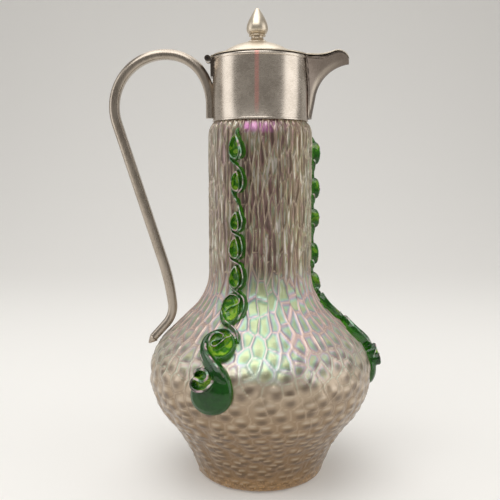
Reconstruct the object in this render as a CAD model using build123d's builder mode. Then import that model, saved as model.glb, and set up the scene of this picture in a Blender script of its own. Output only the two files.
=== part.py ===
# Glass claret jug with a metal collar, spout, handle and hinged lid, in millimetres.
# +Z is up, +X points to the spout and -X to the handle. The origin is the centre of the foot.
import os
from math import copysign, cos, radians, sin, sqrt, tan

from build123d import *

os.makedirs("parts", exist_ok=True)

# Clearances between pieces
solder_gap = 0.05
lid_gap = 0.3
hinge_gap = 0.3
pin_clear = 0.04
handle_clear = 0.9

# Collar, its plaster bed and the ring on the glass lip
collar_r = 27.2
collar_wall = 1.0
rim_z = 241.9
collar_tall = 35.4
collar_z = rim_z - collar_tall
collar_lap = 0.8
plaster_thick = 1.0
plaster_rise = 2.0
lip_ring_wide = 4.2
lip_ring_thick = 1.0

# Glass bottle, outside: its neck and mouth suit the collar
neck_step = 2.0
neck_r = collar_r + neck_step
mouth_r = collar_r - collar_wall - plaster_thick
belly_r = 64.1
belly_z = 62.0
foot_r = 36.3
shoulder_lean = 46.0
throat_arc_r = 33.0
crest_arc_r = 28.0
belly_arc_r = 39.0
belly_turn = 40.0
heel_bevel = 2.6
neck_entry = 8.5
neck_top_z = collar_z - neck_entry
lip_drop = 15.9
lip_z = rim_z - lip_drop

# Glass bottle, inside and underneath
glass_wall = 3.0
floor_thick = 6.0
foot_ring_r = 26.0
punt_rise = 2.5

# Spout
spout_reach = 22.9
spout_tip_drop = 2.3
spout_knee_out = 3.6
spout_knee_rise = 14.5
spout_foot_out = 1.2
spout_foot_rise = 1.5
spout_nose_r = 1.5
spout_wall = 0.9
spout_root_half = 41.0
spout_tip_half = 21.0
spout_arm = 24.0
over_top = 30.0
spout_stations = 6
brow_rise_r = 34.3
brow_rise_turn = 23.7
brow_fall_r = 6.0
brow_fall_turn = 103.0
window_rise = 3.0

# Lid
lid_plate = 1.0
lid_over = 0.5
lid_tip_over = 0.4
lid_nose_round = 1.7
lid_root_half = 11.6
dome_x = -1.8
dome_land = 4.4
dome_r = collar_r + dome_x - dome_land
dome_step = 0.8
dome_rise = 7.3
dome_wall = 1.0

# Finial
stud_r = 1.4
base_foot_r = 5.2
base_waist_r = 3.5
base_rise = 4.6
base_edge = 0.5
base_flare = 3.0
ring_r = 4.8
ring_thick = 0.8
groove_r = 4.3
bud_r = 5.95
bud_widest_rise = 3.6
bud_shoulder_rise = 9.6
bud_tall = 14.1
nut_across = 5.5
nut_sides = 6
nut_thick = 2.2
stud_spare = 1.0

# Hinge
hinge_out = 2.7
hinge_drop = 0.3
barrel_r = 1.7
barrel_long = 11.0
knuckle_count = 3
pin_r = 0.8
pin_short = 0.4
leaf_thick = 1.0
leaf_low = 10.4
leaf_web = 1.1
tongue_land = 1.0
tongue_long = dome_land - tongue_land

# Handle
handle_r = 3.25
handle_flat = 2.7
handle_sides = 12
handle_out = 1.2
handle_root_rise = 2.0
root_run = 7.5
neck_bend_r = 32.9
neck_bend_turn = 29.6
crown_bend_r = 23.3
crown_bend_turn = 51.7
grip_bend_r = 29.6
grip_bend_turn = 116.3
waist_bend_r = 131.7
waist_bend_turn = 11.5
heel_bend_r = 15.6
heel_bend_turn = 48.2
tail_run = 10.6
tip_r = 2.8
tip_long = 4.8
tip_end_r = 1.2
tip_groove = 0.6
tip_groove_r = 2.1
spigot_r = 1.2
spigot_long = 4.0

# Glass trails: stations are measured down the outside of the glass from the top of the neck
trail_sink = 1.5
petal_sides = 8
petal_taper = 0.4
rope_r = 1.9
rope_sides = 6
rope_lift = 1.2
rope_leave = 0.25
rope_aside = 0.33
loop_rim = 0.88
loop_mouth = 0.62
loop_floor = 0.36
loop_floor_rise = 1.6
neck_loops_at = (5.8, 24.6, 46.6, 61.5, 77.7)
neck_loop_wide = 8.8
neck_loop_long = 13.6
neck_loop_tall = 5.2
shoulder_loop_at = 96.0
shoulder_loop_wide = 12.6
shoulder_loop_long = 17.0
crest_loop_at = 115.6
crest_loop_across = 1.2
crest_loop_wide = 18.0
crest_loop_long = 16.0
big_loop_tall = 5.6
prunt_at = 143.0
prunt_across = 2.2
prunt_wide = 25.0
prunt_long = 27.0
prunt_sink = 3.6
prunt_swell = 0.5
prunt_tall = 6.4
prunt_crown = 0.55
curl_at = 138.2
curl_across = -3.0
curl_wide = 12.0
curl_long = 12.5
curl_tall = 7.8
curl_floor_rise = 5.0
front_trail_turn = -116.0
back_trail_turn = 120.0


# Outside of the glass and the two faces that make its wall

def wall_line(inset, foot_place):
    """Draw the side of the bottle from the top of the neck to a place at its foot."""
    arcs_r = (throat_arc_r + crest_arc_r) * (1 - cos(radians(shoulder_lean)))
    shoulder_run = (belly_r - neck_r - arcs_r) / sin(radians(shoulder_lean))
    bends_z = (throat_arc_r + crest_arc_r) * sin(radians(shoulder_lean))
    throat_z = belly_z + bends_z + shoulder_run * cos(radians(shoulder_lean))
    neck = Line((neck_r - inset, neck_top_z), (neck_r - inset, throat_z))
    throat = JernArc(neck @ 1, neck % 1, throat_arc_r + inset, shoulder_lean)
    shoulder = Line(throat @ 1, throat @ 1 + throat % 1 * shoulder_run)
    crest = JernArc(shoulder @ 1, shoulder % 1, crest_arc_r - inset, -shoulder_lean)
    belly = JernArc(crest @ 1, crest % 1, belly_arc_r - inset, -belly_turn)
    TangentArc(belly @ 1, foot_place, tangent=belly % 1)
    return neck


# Half sections are drawn towards the handle, so the seams of turned faces stay clear of the trails
handle_side = Plane((0, 0, 0), x_dir=(-1, 0, 0), z_dir=(0, 1, 0))


def glass_face(inset, foot_place):
    """Half section from the axis out to the side of the bottle, drawn at an inset from its outside."""
    mouth_place = (mouth_r - inset, collar_z + collar_lap)
    with BuildSketch(handle_side) as section:
        with BuildLine():
            neck = wall_line(inset, foot_place)
            entry = TangentArc(neck @ 0, mouth_place, tangent=-(neck % 0))
            Polyline(entry @ 1, (mouth_r - inset, lip_z), (0, lip_z), (0, foot_place[1]), foot_place)
        make_face()
    return section.sketch


with BuildPart() as glass_form:
    revolve(glass_face(0, (foot_r, 0)), axis=Axis.Z)
    chamfer(glass_form.faces().sort_by(Axis.Z)[0].edges(), heel_bevel)

with BuildPart() as glass_bottle:
    add(glass_form.part)
    revolve(glass_face(glass_wall, (foot_r - glass_wall, floor_thick)), axis=Axis.Z, mode=Mode.SUBTRACT)
    with BuildSketch(Plane.XZ) as punt:
        with BuildLine():
            hollow = SagittaArc((-foot_ring_r, 0), (foot_ring_r, 0), punt_rise)
            Line(hollow @ 1, hollow @ 0)
        make_face()
        split(bisect_by=Plane.YZ, keep=Keep.TOP)
    revolve(axis=Axis.Z, mode=Mode.SUBTRACT)
glass_bottle.part.label = "glass_bottle"
export_step(glass_bottle.part, "parts/glass_bottle.step")


# Applied glass trail: cupped loops pinched up from the glass, joined by slanting ropes, and a prunt

with BuildLine(Plane.XZ) as glass_line:
    wall_line(0, (foot_r, 0))
glass_side = glass_line.wire()


def seat(station, across=0.0, lift=0.0):
    """Plane on the glass at a station: x runs down the glass, y across it and z out of it."""
    place = glass_side.position_at(station, position_mode=PositionMode.LENGTH)
    down = glass_side.tangent_at(station, position_mode=PositionMode.LENGTH)
    out = down.cross(Vector(0, 1, 0))
    return Plane(place + Vector(0, across, 0) + out * lift, x_dir=down, z_dir=out)


def petal(place, long, wide, taper, share):
    """Many-sided petal on a plane, narrower up the glass by its taper, its full size times a share."""
    turns = [radians(360 * side / petal_sides) for side in range(petal_sides)]
    halves = [wide / 2 * (1 - taper * (1 - cos(turn)) / 2) for turn in turns]
    corners = [(long / 2 * cos(turn) * share, half * sin(turn) * share) for turn, half in zip(turns, halves)]
    with BuildSketch(place) as section:
        Polygon(*corners, align=None)
    return section.sketch


def cup(station, across, long, wide, tall, taper, floor_rise):
    """Cup drawn up from the glass with a narrower lip and a dished floor."""
    base = petal(seat(station, across, -trail_sink), long, wide, taper, 1)
    lip = seat(station, across, tall)
    loft([base, petal(lip, long, wide, taper, loop_rim)], ruled=True)
    floor = petal(seat(station, across, floor_rise), long, wide, taper, loop_floor)
    loft([petal(lip, long, wide, taper, loop_mouth), floor], ruled=True, mode=Mode.SUBTRACT)


def rope(upper, upper_across, lower, lower_across):
    """Rope of glass between two stations, half sunk in the surface."""
    start = seat(upper, upper_across, rope_lift).origin
    end = seat(lower, lower_across, rope_lift).origin
    with BuildSketch(Plane(start, z_dir=end - start)) as section:
        RegularPolygon(rope_r, rope_sides)
    extrude(section.sketch, amount=(end - start).length)


# Station, place across, length and width of each loop and of the prunt below them
neck_petals = [(station, 0, neck_loop_long, neck_loop_wide) for station in neck_loops_at]
shoulder_petal = (shoulder_loop_at, 0, shoulder_loop_long, shoulder_loop_wide)
crest_petal = (crest_loop_at, crest_loop_across, crest_loop_long, crest_loop_wide)
prunt_petal = (prunt_at, prunt_across, prunt_long, prunt_wide)
petals = neck_petals + [shoulder_petal, crest_petal, prunt_petal]

with BuildPart() as trail_form:
    for station, across, long, wide in neck_petals:
        cup(station, across, long, wide, neck_loop_tall, petal_taper, loop_floor_rise)
    for station, across, long, wide in (shoulder_petal, crest_petal):
        cup(station, across, long, wide, big_loop_tall, petal_taper, loop_floor_rise)
    for above, below in zip(petals[:-1], petals[1:]):
        upper, upper_across, upper_long, upper_wide = above
        lower, lower_across, lower_long, lower_wide = below
        leave = (upper + rope_leave * upper_long, upper_across - rope_aside * upper_wide)
        reach = (lower - rope_leave * lower_long, lower_across + rope_aside * lower_wide)
        rope(*leave, *reach)
    edge = petal(seat(prunt_at, prunt_across, -prunt_sink), prunt_long, prunt_wide, petal_taper, 1)
    swell = petal(seat(prunt_at, prunt_across, prunt_swell), prunt_long, prunt_wide, petal_taper, 1)
    crown = petal(seat(prunt_at, prunt_across, prunt_tall), prunt_long, prunt_wide, petal_taper, prunt_crown)
    loft([edge, swell, crown], ruled=True)
    cup(curl_at, curl_across, curl_long, curl_wide, curl_tall, 0, curl_floor_rise)

with BuildPart() as spout_trail:
    add(trail_form.part)
    add(glass_form.part, mode=Mode.SUBTRACT)
spout_trail.part.label = "spout_trail"
export_step(spout_trail.part, "parts/spout_trail.step")

with BuildPart() as front_trail:
    add(trail_form.part.rotate(Axis.Z, front_trail_turn))
    add(glass_form.part, mode=Mode.SUBTRACT)
front_trail.part.label = "front_trail"
export_step(front_trail.part, "parts/front_trail.step")

with BuildPart() as back_trail:
    add(trail_form.part.rotate(Axis.Z, back_trail_turn))
    add(glass_form.part, mode=Mode.SUBTRACT)
back_trail.part.label = "back_trail"
export_step(back_trail.part, "parts/back_trail.step")


# Spout: a V-shaped trough whose keel sweeps up and out from the foot of the collar

tip_x = collar_r + spout_reach
brow_end_turn = brow_fall_turn - brow_rise_turn
brow_rise_run = (brow_rise_r + brow_fall_r) * sin(radians(brow_rise_turn))
brow_x = tip_x - brow_rise_run - brow_fall_r * sin(radians(brow_end_turn))
high_z = rim_z + over_top


def brow_line(lift, back_x):
    """Side view of the spout's upper edge, raised by a lift: level, then up, then down to the tip."""
    level = Line((back_x, rim_z + lift), (brow_x, rim_z + lift))
    rise = JernArc(level @ 1, level % 1, brow_rise_r - lift, brow_rise_turn)
    fall = JernArc(rise @ 1, rise % 1, brow_fall_r + lift, -brow_fall_turn)
    return level @ 0, fall @ 1


with BuildLine(Plane.XZ) as keel_line:
    knee = (collar_r + spout_knee_out, collar_z + spout_knee_rise)
    riser = Line((collar_r + spout_foot_out, collar_z + spout_foot_rise), knee)
    TangentArc(riser @ 1, (tip_x, rim_z - spout_tip_drop), tangent=riser % 1)
keel = keel_line.wire()
knee_share = riser.length / keel.length


def vee(share, nose_r, round_nose):
    """V section square to the keel and open to the jug, its sides tangent to the nose's circle."""
    beyond_knee = max(share - knee_share, 0) / (1 - knee_share)
    half = radians(spout_root_half + (spout_tip_half - spout_root_half) * beyond_knee)
    apex = spout_nose_r - nose_r / sin(half)
    reach = (spout_arm - apex) * tan(half)
    with BuildSketch(Plane(keel @ share, x_dir=(0, 1, 0), z_dir=keel % share)) as section:
        Polygon((0, apex), (reach, spout_arm), (-reach, spout_arm), align=None)
        if round_nose:
            fillet(section.vertices().sort_by(Axis.Y)[0], nose_r)
    return section.sketch


def trough(nose_r, round_nose):
    """Solid trough through the V sections from the foot of the spout to its tip."""
    shares = [station / (spout_stations - 1) for station in range(spout_stations)]
    with BuildPart() as solid:
        loft([vee(share, nose_r, round_nose) for share in shares])
    return solid.part


spout_form = trough(spout_nose_r, True)
spout_channel = trough(spout_nose_r - spout_wall, False)

with BuildPart() as collar_core:
    with BuildSketch(Plane.XY.offset(collar_z)) as core:
        Circle(collar_r)
    extrude(amount=high_z - collar_z)

with BuildPart() as spout:
    add(spout_form)
    add(spout_channel, mode=Mode.SUBTRACT)
    with BuildSketch(Plane.XZ) as above_brow:
        with BuildLine():
            back, front = brow_line(0, 0)
            far_x = tip_x + spout_arm
            Polyline(front, (far_x, front.Y), (far_x, high_z), (back.X, high_z), back)
        make_face()
    extrude(amount=spout_arm, both=True, mode=Mode.SUBTRACT)
    add(collar_core.part, mode=Mode.SUBTRACT)
spout.part.label = "spout"
export_step(spout.part, "parts/spout.step")


# Collar: a rolled band with a window into the spout, set on the neck in plaster

with BuildPart() as window:
    add(spout_channel)
    with BuildSketch(Plane.XY.offset(lip_z + window_rise)) as above_lip:
        Circle(tip_x)
    extrude(amount=over_top, mode=Mode.INTERSECT)
    split(bisect_by=Plane.YZ, keep=Keep.TOP)

with BuildPart() as collar_band:
    with BuildSketch(Plane.XY.offset(collar_z)) as band:
        Circle(collar_r)
        Circle(collar_r - collar_wall, mode=Mode.SUBTRACT)
    extrude(amount=rim_z - collar_z)
    add(window.part, mode=Mode.SUBTRACT)
collar_band.part.label = "collar_band"
export_step(collar_band.part, "parts/collar_band.step")

bore_r = collar_r - collar_wall - solder_gap

with BuildPart() as plaster_bed:
    with BuildSketch(Plane.XY.offset(collar_z + plaster_rise)) as bed:
        Circle(bore_r)
        Circle(mouth_r + solder_gap, mode=Mode.SUBTRACT)
    extrude(amount=lip_z - collar_z - plaster_rise)
plaster_bed.part.label = "plaster_bed"
export_step(plaster_bed.part, "parts/plaster_bed.step")

with BuildPart() as lip_ring:
    with BuildSketch(Plane.XY.offset(lip_z)) as ring_face:
        Circle(bore_r)
        Circle(bore_r - lip_ring_wide, mode=Mode.SUBTRACT)
    extrude(amount=lip_ring_thick)
lip_ring.part.label = "lip_ring"
export_step(lip_ring.part, "parts/lip_ring.step")


# Lid: a sheet that lies over the rim and follows the spout's brow, with a hollow dome raised on it

hinge_x = -(collar_r + hinge_out)
hinge_z = rim_z - hinge_drop
lid_z = rim_z + lid_gap
dome_seat_z = lid_z + lid_plate + dome_step
dome_top_z = dome_seat_z + dome_rise
dome_axis = Axis((dome_x, 0, 0), (0, 0, 1))
dome_plane = Plane((dome_x, 0, 0), x_dir=(1, 0, 0), z_dir=(0, -1, 0))
tongue_end_x = -collar_r + tongue_long


def dome_face(inset):
    """Half section of the dome from its axis, drawn at an inset from its outside."""
    edge_x = dome_r - inset
    edge_z = dome_seat_z - inset
    with BuildSketch(dome_plane) as section:
        with BuildLine():
            cap = ThreePointArc((-edge_x, edge_z), (0, dome_top_z - inset), (edge_x, edge_z))
            Polyline(cap @ 1, (edge_x, lid_z), (-edge_x, lid_z), cap @ 0)
        make_face()
        split(bisect_by=Plane.YZ, keep=Keep.TOP)
    return section.sketch


with BuildPart() as lid_outline:
    with BuildSketch(Plane.XY.offset(hinge_z - barrel_r)) as plan:
        Circle(collar_r + lid_over)
        with BuildLine():
            front_x = tip_x + lid_tip_over
            front_half = spout_nose_r + lid_tip_over
            Polyline(
                (0, lid_root_half),
                (brow_x, lid_root_half),
                (front_x, front_half),
                (front_x, -front_half),
                (brow_x, -lid_root_half),
                (0, -lid_root_half),
                close=True,
            )
        make_face()
        fillet(plan.vertices().group_by(Axis.X)[-1], lid_nose_round)
    extrude(amount=over_top)

with BuildPart() as lid_cover:
    with BuildSketch(Plane.XZ) as sheet:
        with BuildLine():
            low_back, low_front = brow_line(lid_gap, hinge_x)
            top_back, top_front = brow_line(lid_gap + lid_plate, hinge_x)
            Line(low_back, top_back)
            Line(low_front, top_front)
        make_face()
    extrude(amount=collar_r * 2, both=True)
    add(lid_outline.part, mode=Mode.INTERSECT)
    revolve(dome_face(0), axis=dome_axis)
    revolve(dome_face(dome_wall), axis=dome_axis, mode=Mode.SUBTRACT)
    with BuildSketch(Plane.XY.offset(lid_z)) as tongue_slot:
        with Locations((tongue_end_x, 0)):
            Rectangle(collar_r, barrel_long + 2 * solder_gap, align=(Align.MAX, Align.CENTER))
    extrude(amount=lid_plate, mode=Mode.SUBTRACT)
    with BuildSketch(Plane.XY.offset(dome_seat_z)) as stud_hole:
        with Locations((dome_x, 0)):
            Circle(stud_r + solder_gap)
    extrude(amount=dome_rise, mode=Mode.SUBTRACT)
lid_cover.part.label = "lid_cover"
export_step(lid_cover.part, "parts/lid_cover.step")


# Hinge: knuckles shared out in turn between a leaf on the collar and a tongue on the lid

barrel_plane = Plane((hinge_x, 0, hinge_z), x_dir=(1, 0, 0), z_dir=(0, -1, 0))
knuckle_pitch = barrel_long / knuckle_count
knuckle_ys = [(turn + 0.5) * knuckle_pitch - barrel_long / 2 for turn in range(knuckle_count)]
collar_ys = knuckle_ys[0::2]
lid_ys = knuckle_ys[1::2]


def slices(middles, radius, long):
    """Round slices on the hinge's axis, one centred on each place along it."""
    with BuildPart() as row:
        for middle in middles:
            with BuildSketch(barrel_plane.offset(-middle)):
                Circle(radius)
            extrude(amount=long / 2, both=True)
    return row.part


def notches(middles):
    """Square notches round the hinge's axis that clear a turning knuckle at each place along it."""
    with BuildPart() as row:
        for middle in middles:
            with BuildSketch(barrel_plane.offset(-middle)):
                Rectangle(2 * (barrel_r + hinge_gap), 2 * (barrel_r + hinge_gap))
            extrude(amount=(knuckle_pitch + hinge_gap) / 2, both=True)
    return row.part


eyes_long = knuckle_pitch - hinge_gap
pin_hole = slices([0], pin_r + pin_clear, barrel_long + hinge_gap)

with BuildPart() as collar_leaf:
    with BuildSketch(Plane.XZ) as leaf:
        web_z = hinge_z - barrel_r
        with BuildLine():
            Polyline(
                (leaf_thick - collar_r, rim_z - leaf_low),
                (-leaf_thick - collar_r, rim_z - leaf_low),
                (-leaf_thick - collar_r, web_z),
                (hinge_x, web_z),
                (hinge_x, web_z + leaf_web),
                (leaf_thick - collar_r, web_z + leaf_web),
                close=True,
            )
        make_face()
    extrude(amount=barrel_long / 2, both=True)
    add(notches(lid_ys), mode=Mode.SUBTRACT)
    add(slices(collar_ys, barrel_r, eyes_long))
    add(pin_hole, mode=Mode.SUBTRACT)
    add(collar_core.part, mode=Mode.SUBTRACT)
collar_leaf.part.label = "collar_leaf"
export_step(collar_leaf.part, "parts/collar_leaf.step")

with BuildPart() as lid_tongue:
    with BuildSketch(Plane.XY.offset(lid_z)) as tongue:
        with Locations((tongue_end_x - solder_gap, 0)):
            tongue_run = tongue_end_x - solder_gap - hinge_x
            Rectangle(tongue_run, barrel_long, align=(Align.MAX, Align.CENTER))
    extrude(amount=lid_plate)
    add(notches(collar_ys), mode=Mode.SUBTRACT)
    add(slices(lid_ys, barrel_r, eyes_long))
    add(pin_hole, mode=Mode.SUBTRACT)
lid_tongue.part.label = "lid_tongue"
export_step(lid_tongue.part, "parts/lid_tongue.step")

with BuildPart() as hinge_pin:
    add(slices([0], pin_r, barrel_long - pin_short))
hinge_pin.part.label = "hinge_pin"
export_step(hinge_pin.part, "parts/hinge_pin.step")


# Finial: a turned base and a pointed bud whose stud is drawn up by a nut inside the dome

base_top_z = dome_top_z + base_rise
dome_inner_r = ((dome_r - dome_wall) ** 2 + dome_rise ** 2) / (2 * dome_rise)
nut_corner_r = nut_across / 2 / cos(radians(180 / nut_sides))
nut_drop = dome_inner_r - sqrt(dome_inner_r ** 2 - nut_corner_r ** 2)
nut_z = dome_top_z - dome_wall - nut_drop - nut_thick
stud_end_z = nut_z - stud_spare
hole_r = stud_r + solder_gap

with BuildPart() as dome_form:
    revolve(dome_face(0), axis=dome_axis)

with BuildPart() as finial_base:
    with BuildSketch(dome_plane) as turned:
        with BuildLine():
            Polyline(
                (hole_r, dome_seat_z),
                (base_foot_r, dome_seat_z),
                (base_foot_r, dome_top_z + base_edge),
                (base_waist_r, dome_top_z + base_flare),
                (base_waist_r, base_top_z),
                (hole_r, base_top_z),
                close=True,
            )
        make_face()
    revolve(axis=dome_axis)
    add(dome_form.part, mode=Mode.SUBTRACT)
finial_base.part.label = "finial_base"
export_step(finial_base.part, "parts/finial_base.step")

with BuildPart() as finial_knob:
    with BuildSketch(dome_plane) as turned:
        with BuildLine():
            ring_z = base_top_z + ring_thick
            widest = (bud_r, base_top_z + bud_widest_rise)
            lower = TangentArc(widest, (groove_r, ring_z), tangent=(0, -1))
            upper = Bezier(widest, (bud_r, base_top_z + bud_shoulder_rise), (0, base_top_z + bud_tall))
            Polyline(
                lower @ 1,
                (ring_r, ring_z),
                (ring_r, base_top_z),
                (stud_r, base_top_z),
                (stud_r, stud_end_z),
                (0, stud_end_z),
                upper @ 1,
            )
        make_face()
    revolve(axis=dome_axis)
finial_knob.part.label = "finial_knob"
export_step(finial_knob.part, "parts/finial_knob.step")

with BuildPart() as finial_nut:
    with BuildSketch(Plane.XY.offset(nut_z)) as nut_face:
        with Locations((dome_x, 0)):
            RegularPolygon(nut_corner_r, nut_sides)
            Circle(hole_r, mode=Mode.SUBTRACT)
    extrude(amount=nut_thick)
finial_nut.part.label = "finial_nut"
export_step(finial_nut.part, "parts/finial_nut.step")


# Handle: a faceted D-section rod that rises from the collar, arches over and comes down to the shoulder

def bend(place, heading, radius, turn):
    """Place and heading after an arc in the XZ plane, where a positive turn goes to the left."""
    side = copysign(radius, turn)
    start = radians(heading)
    end = radians(heading + turn)
    run_x = side * (sin(end) - sin(start))
    run_z = side * (cos(start) - cos(end))
    return (place[0] + run_x, place[1] + run_z), heading + turn


def follow(place, heading, bends):
    """Place and heading after a row of bends."""
    for radius, turn in bends:
        place, heading = bend(place, heading, radius, turn)
    return place, heading


upper_bends = [(neck_bend_r, neck_bend_turn), (crown_bend_r, crown_bend_turn), (grip_bend_r, grip_bend_turn)]
lower_bends = [(waist_bend_r, -waist_bend_turn), (heel_bend_r, -heel_bend_turn)]
root_x = -(collar_r + handle_out)
handle_root_z = collar_z + handle_root_rise

# The shank is as long as brings the straight tail to its clearance from the crest of the shoulder
shank_place, shank_heading = follow((root_x, handle_root_z + root_run), 90, upper_bends)
tail_place, tail_heading = follow(shank_place, shank_heading, lower_bends)
away = (sin(radians(tail_heading)), -cos(radians(tail_heading)))
crest_x = crest_arc_r - belly_r
stand_off = crest_arc_r + handle_clear + handle_r
tail_off = away[0] * (tail_place[0] - crest_x) + away[1] * (tail_place[1] - belly_z)
closing = away[0] * cos(radians(shank_heading)) + away[1] * sin(radians(shank_heading))
shank_run = (stand_off - tail_off) / closing

with BuildLine(Plane.XZ) as handle_line:
    route = Line((root_x, handle_root_z), (root_x, handle_root_z + root_run))
    for radius, turn in upper_bends:
        route = JernArc(route @ 1, route % 1, radius, turn)
    route = Line(route @ 1, route @ 1 + route % 1 * shank_run)
    for radius, turn in lower_bends:
        route = JernArc(route @ 1, route % 1, radius, turn)
    route = Line(route @ 1, route @ 1 + route % 1 * tail_run)
handle_end = route @ 1
tail_plane = Plane(handle_end, x_dir=route % 1, z_dir=(0, -1, 0))
tail_axis = Axis(handle_end, route % 1)

with BuildPart() as handle_rod:
    with BuildSketch(Plane(handle_line.wire() @ 0, x_dir=(0, 1, 0), z_dir=(0, 0, 1))) as d_section:
        RegularPolygon(handle_r, handle_sides)
        with Locations((0, handle_flat)):
            Rectangle(2 * handle_r, handle_r, align=(Align.CENTER, Align.MIN), mode=Mode.SUBTRACT)
    sweep(path=handle_line.wire())
    with BuildSketch(tail_plane) as socket:
        with BuildLine():
            depth = spigot_long + solder_gap
            socket_r = spigot_r + solder_gap
            Polyline((0, 0), (-depth, 0), (-depth, socket_r), (0, socket_r), close=True)
        make_face()
    revolve(axis=tail_axis, mode=Mode.SUBTRACT)
    add(collar_core.part, mode=Mode.SUBTRACT)
handle_rod.part.label = "handle_rod"
export_step(handle_rod.part, "parts/handle_rod.step")

with BuildPart() as handle_tip:
    with BuildSketch(tail_plane) as turned:
        with BuildLine():
            Polyline(
                (-spigot_long, 0),
                (-spigot_long, spigot_r),
                (0, spigot_r),
                (0, tip_groove_r),
                (tip_groove, tip_groove_r),
                (tip_groove, tip_r),
                (tip_long, tip_end_r),
                (tip_long, 0),
                close=True,
            )
        make_face()
    revolve(axis=tail_axis)
handle_tip.part.label = "handle_tip"
export_step(handle_tip.part, "parts/handle_tip.step")
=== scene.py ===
"""Looks of a glass claret jug: lustre glass with green trails, and a plated collar, spout, handle and lid."""
import logging
import math
from dataclasses import dataclass, field
from enum import Enum

import bpy
import numpy as np
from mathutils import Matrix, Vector


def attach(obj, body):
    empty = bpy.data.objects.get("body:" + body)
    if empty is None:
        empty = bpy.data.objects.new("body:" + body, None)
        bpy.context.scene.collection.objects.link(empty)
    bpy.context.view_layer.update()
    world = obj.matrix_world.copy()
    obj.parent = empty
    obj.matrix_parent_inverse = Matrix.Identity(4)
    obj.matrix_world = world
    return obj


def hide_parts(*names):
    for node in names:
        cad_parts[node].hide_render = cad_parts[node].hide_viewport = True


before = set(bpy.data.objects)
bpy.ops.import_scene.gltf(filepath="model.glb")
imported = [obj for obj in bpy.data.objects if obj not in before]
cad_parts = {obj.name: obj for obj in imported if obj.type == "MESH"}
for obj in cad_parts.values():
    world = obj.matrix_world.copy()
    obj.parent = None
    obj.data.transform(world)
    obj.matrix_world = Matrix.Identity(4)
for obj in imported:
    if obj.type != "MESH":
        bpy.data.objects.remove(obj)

MM = 0.001
SEED = 11
# Places measured at once, so that the tables of distances stay small
LIP_BATCH = 4000
SIDE_BATCH = 20000
Faces = list[list[int]]
Part = tuple[np.ndarray, Faces]
Socket = bpy.types.NodeSocket
log = logging.getLogger("jug")


class Body(Enum):
    """Rigid bodies of the frame."""

    JUG = "jug"
    LID = "lid"


class Slot(Enum):
    """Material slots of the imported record."""

    LUSTRE = "lustre_glass"
    GREEN = "green_glass"
    PLASTER = "plaster"
    BRUSHED = "silver_brushed"
    SATIN = "silver_satin"
    BRIGHT = "silver_bright"
    STEEL = "pin_steel"


# Curves in a plane


@dataclass(frozen=True)
class Leg:
    """One run of a route: straight without a turn, a kink without a length, otherwise an arc to the left."""

    length: float
    turn: float = 0.0


def arc(radius: float, turn: float) -> Leg:
    """Arc of a radius in mm through a turn in degrees, positive to the left."""
    return Leg(radius * abs(math.radians(turn)), turn)


@dataclass(frozen=True)
class Route:
    """Plane curve of straight runs and arcs, walked from a start at a heading in degrees."""

    start: tuple[float, float]
    heading: float
    legs: tuple[Leg, ...]

    @property
    def length(self) -> float:
        """Whole length in mm."""
        return sum(leg.length for leg in self.legs)

    def at(self, stations: np.ndarray) -> tuple[np.ndarray, np.ndarray]:
        """Places and headings along the route.

        On an arc of curvature k the heading grows by k times the run, and the place is the integral of its
        cosine and sine: (sin(h + k s) - sin h) / k and (cos h - cos(h + k s)) / k.

        Args:
            stations: distances from the start in mm; those outside go on straight.
        Returns:
            Places as rows of two numbers, and headings in radians.
        """
        stations = np.asarray(stations, float)
        place = np.array(self.start, float)
        heading = math.radians(self.heading)
        places = place + np.outer(stations, [math.cos(heading), math.sin(heading)])
        headings = np.full(stations.shape, heading)
        passed = 0.0
        for leg in self.legs:
            turn = math.radians(leg.turn)
            if leg.length == 0:
                heading += turn
                continue
            here = stations >= passed
            run = stations[here] - passed
            bend = turn / leg.length
            if bend:
                run_in = np.minimum(run, leg.length)
                end = heading + bend * run_in
                over = (run - run_in)[:, None] * np.stack([np.cos(end), np.sin(end)], axis=1)
                steps = np.stack([np.sin(end) - math.sin(heading), math.cos(heading) - np.cos(end)], axis=1)
                places[here] = place + steps / bend + over
                headings[here] = end
                new = heading + turn
                moved = np.array([math.sin(new) - math.sin(heading), math.cos(heading) - math.cos(new)])
                place = place + moved / bend
                heading = new
            else:
                ahead = np.array([math.cos(heading), math.sin(heading)])
                places[here] = place + np.outer(run, ahead)
                headings[here] = heading
                place = place + leg.length * ahead
            passed += leg.length
        return places, headings

    def end(self) -> tuple[tuple[float, float], float]:
        """Last place, and the heading there in degrees."""
        places, headings = self.at(np.array([self.length]))
        return (places[0, 0], places[0, 1]), math.degrees(headings[0])


def arc_to(start: tuple[float, float], heading: float, goal: tuple[float, float]) -> Leg:
    """Arc that leaves a start at a heading and ends at a goal: it turns through twice the chord's angle."""
    chord = (goal[0] - start[0], goal[1] - start[1])
    half = math.radians((math.degrees(math.atan2(chord[1], chord[0])) - heading + 180) % 360 - 180)
    return arc(math.hypot(*chord) / (2 * math.sin(abs(half))), math.degrees(2 * half))


def rounded_line(knots: list[tuple[float, ...]], count: int) -> np.ndarray:
    """Smooth curve through knots, by Catmull-Rom cubics whose end slopes are half the chord past each knot.

    Args:
        knots: the places passed, of any dimension.
        count: number of places wanted, evenly spread over the pieces.
    Returns:
        The places as rows.
    """
    points = np.array(knots, float)
    padded = np.vstack([2 * points[0] - points[1], points, 2 * points[-1] - points[-2]])
    run = np.linspace(0, len(points) - 1, count)
    piece = np.minimum(run.astype(int), len(points) - 2)
    t = (run - piece)[:, None]
    a, b, c, d = (padded[piece + shift] for shift in range(4))
    return 0.5 * (2 * b + (c - a) * t + (2 * a - 5 * b + 4 * c - d) * t**2 + (3 * b - a - 3 * c + d) * t**3)


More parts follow.
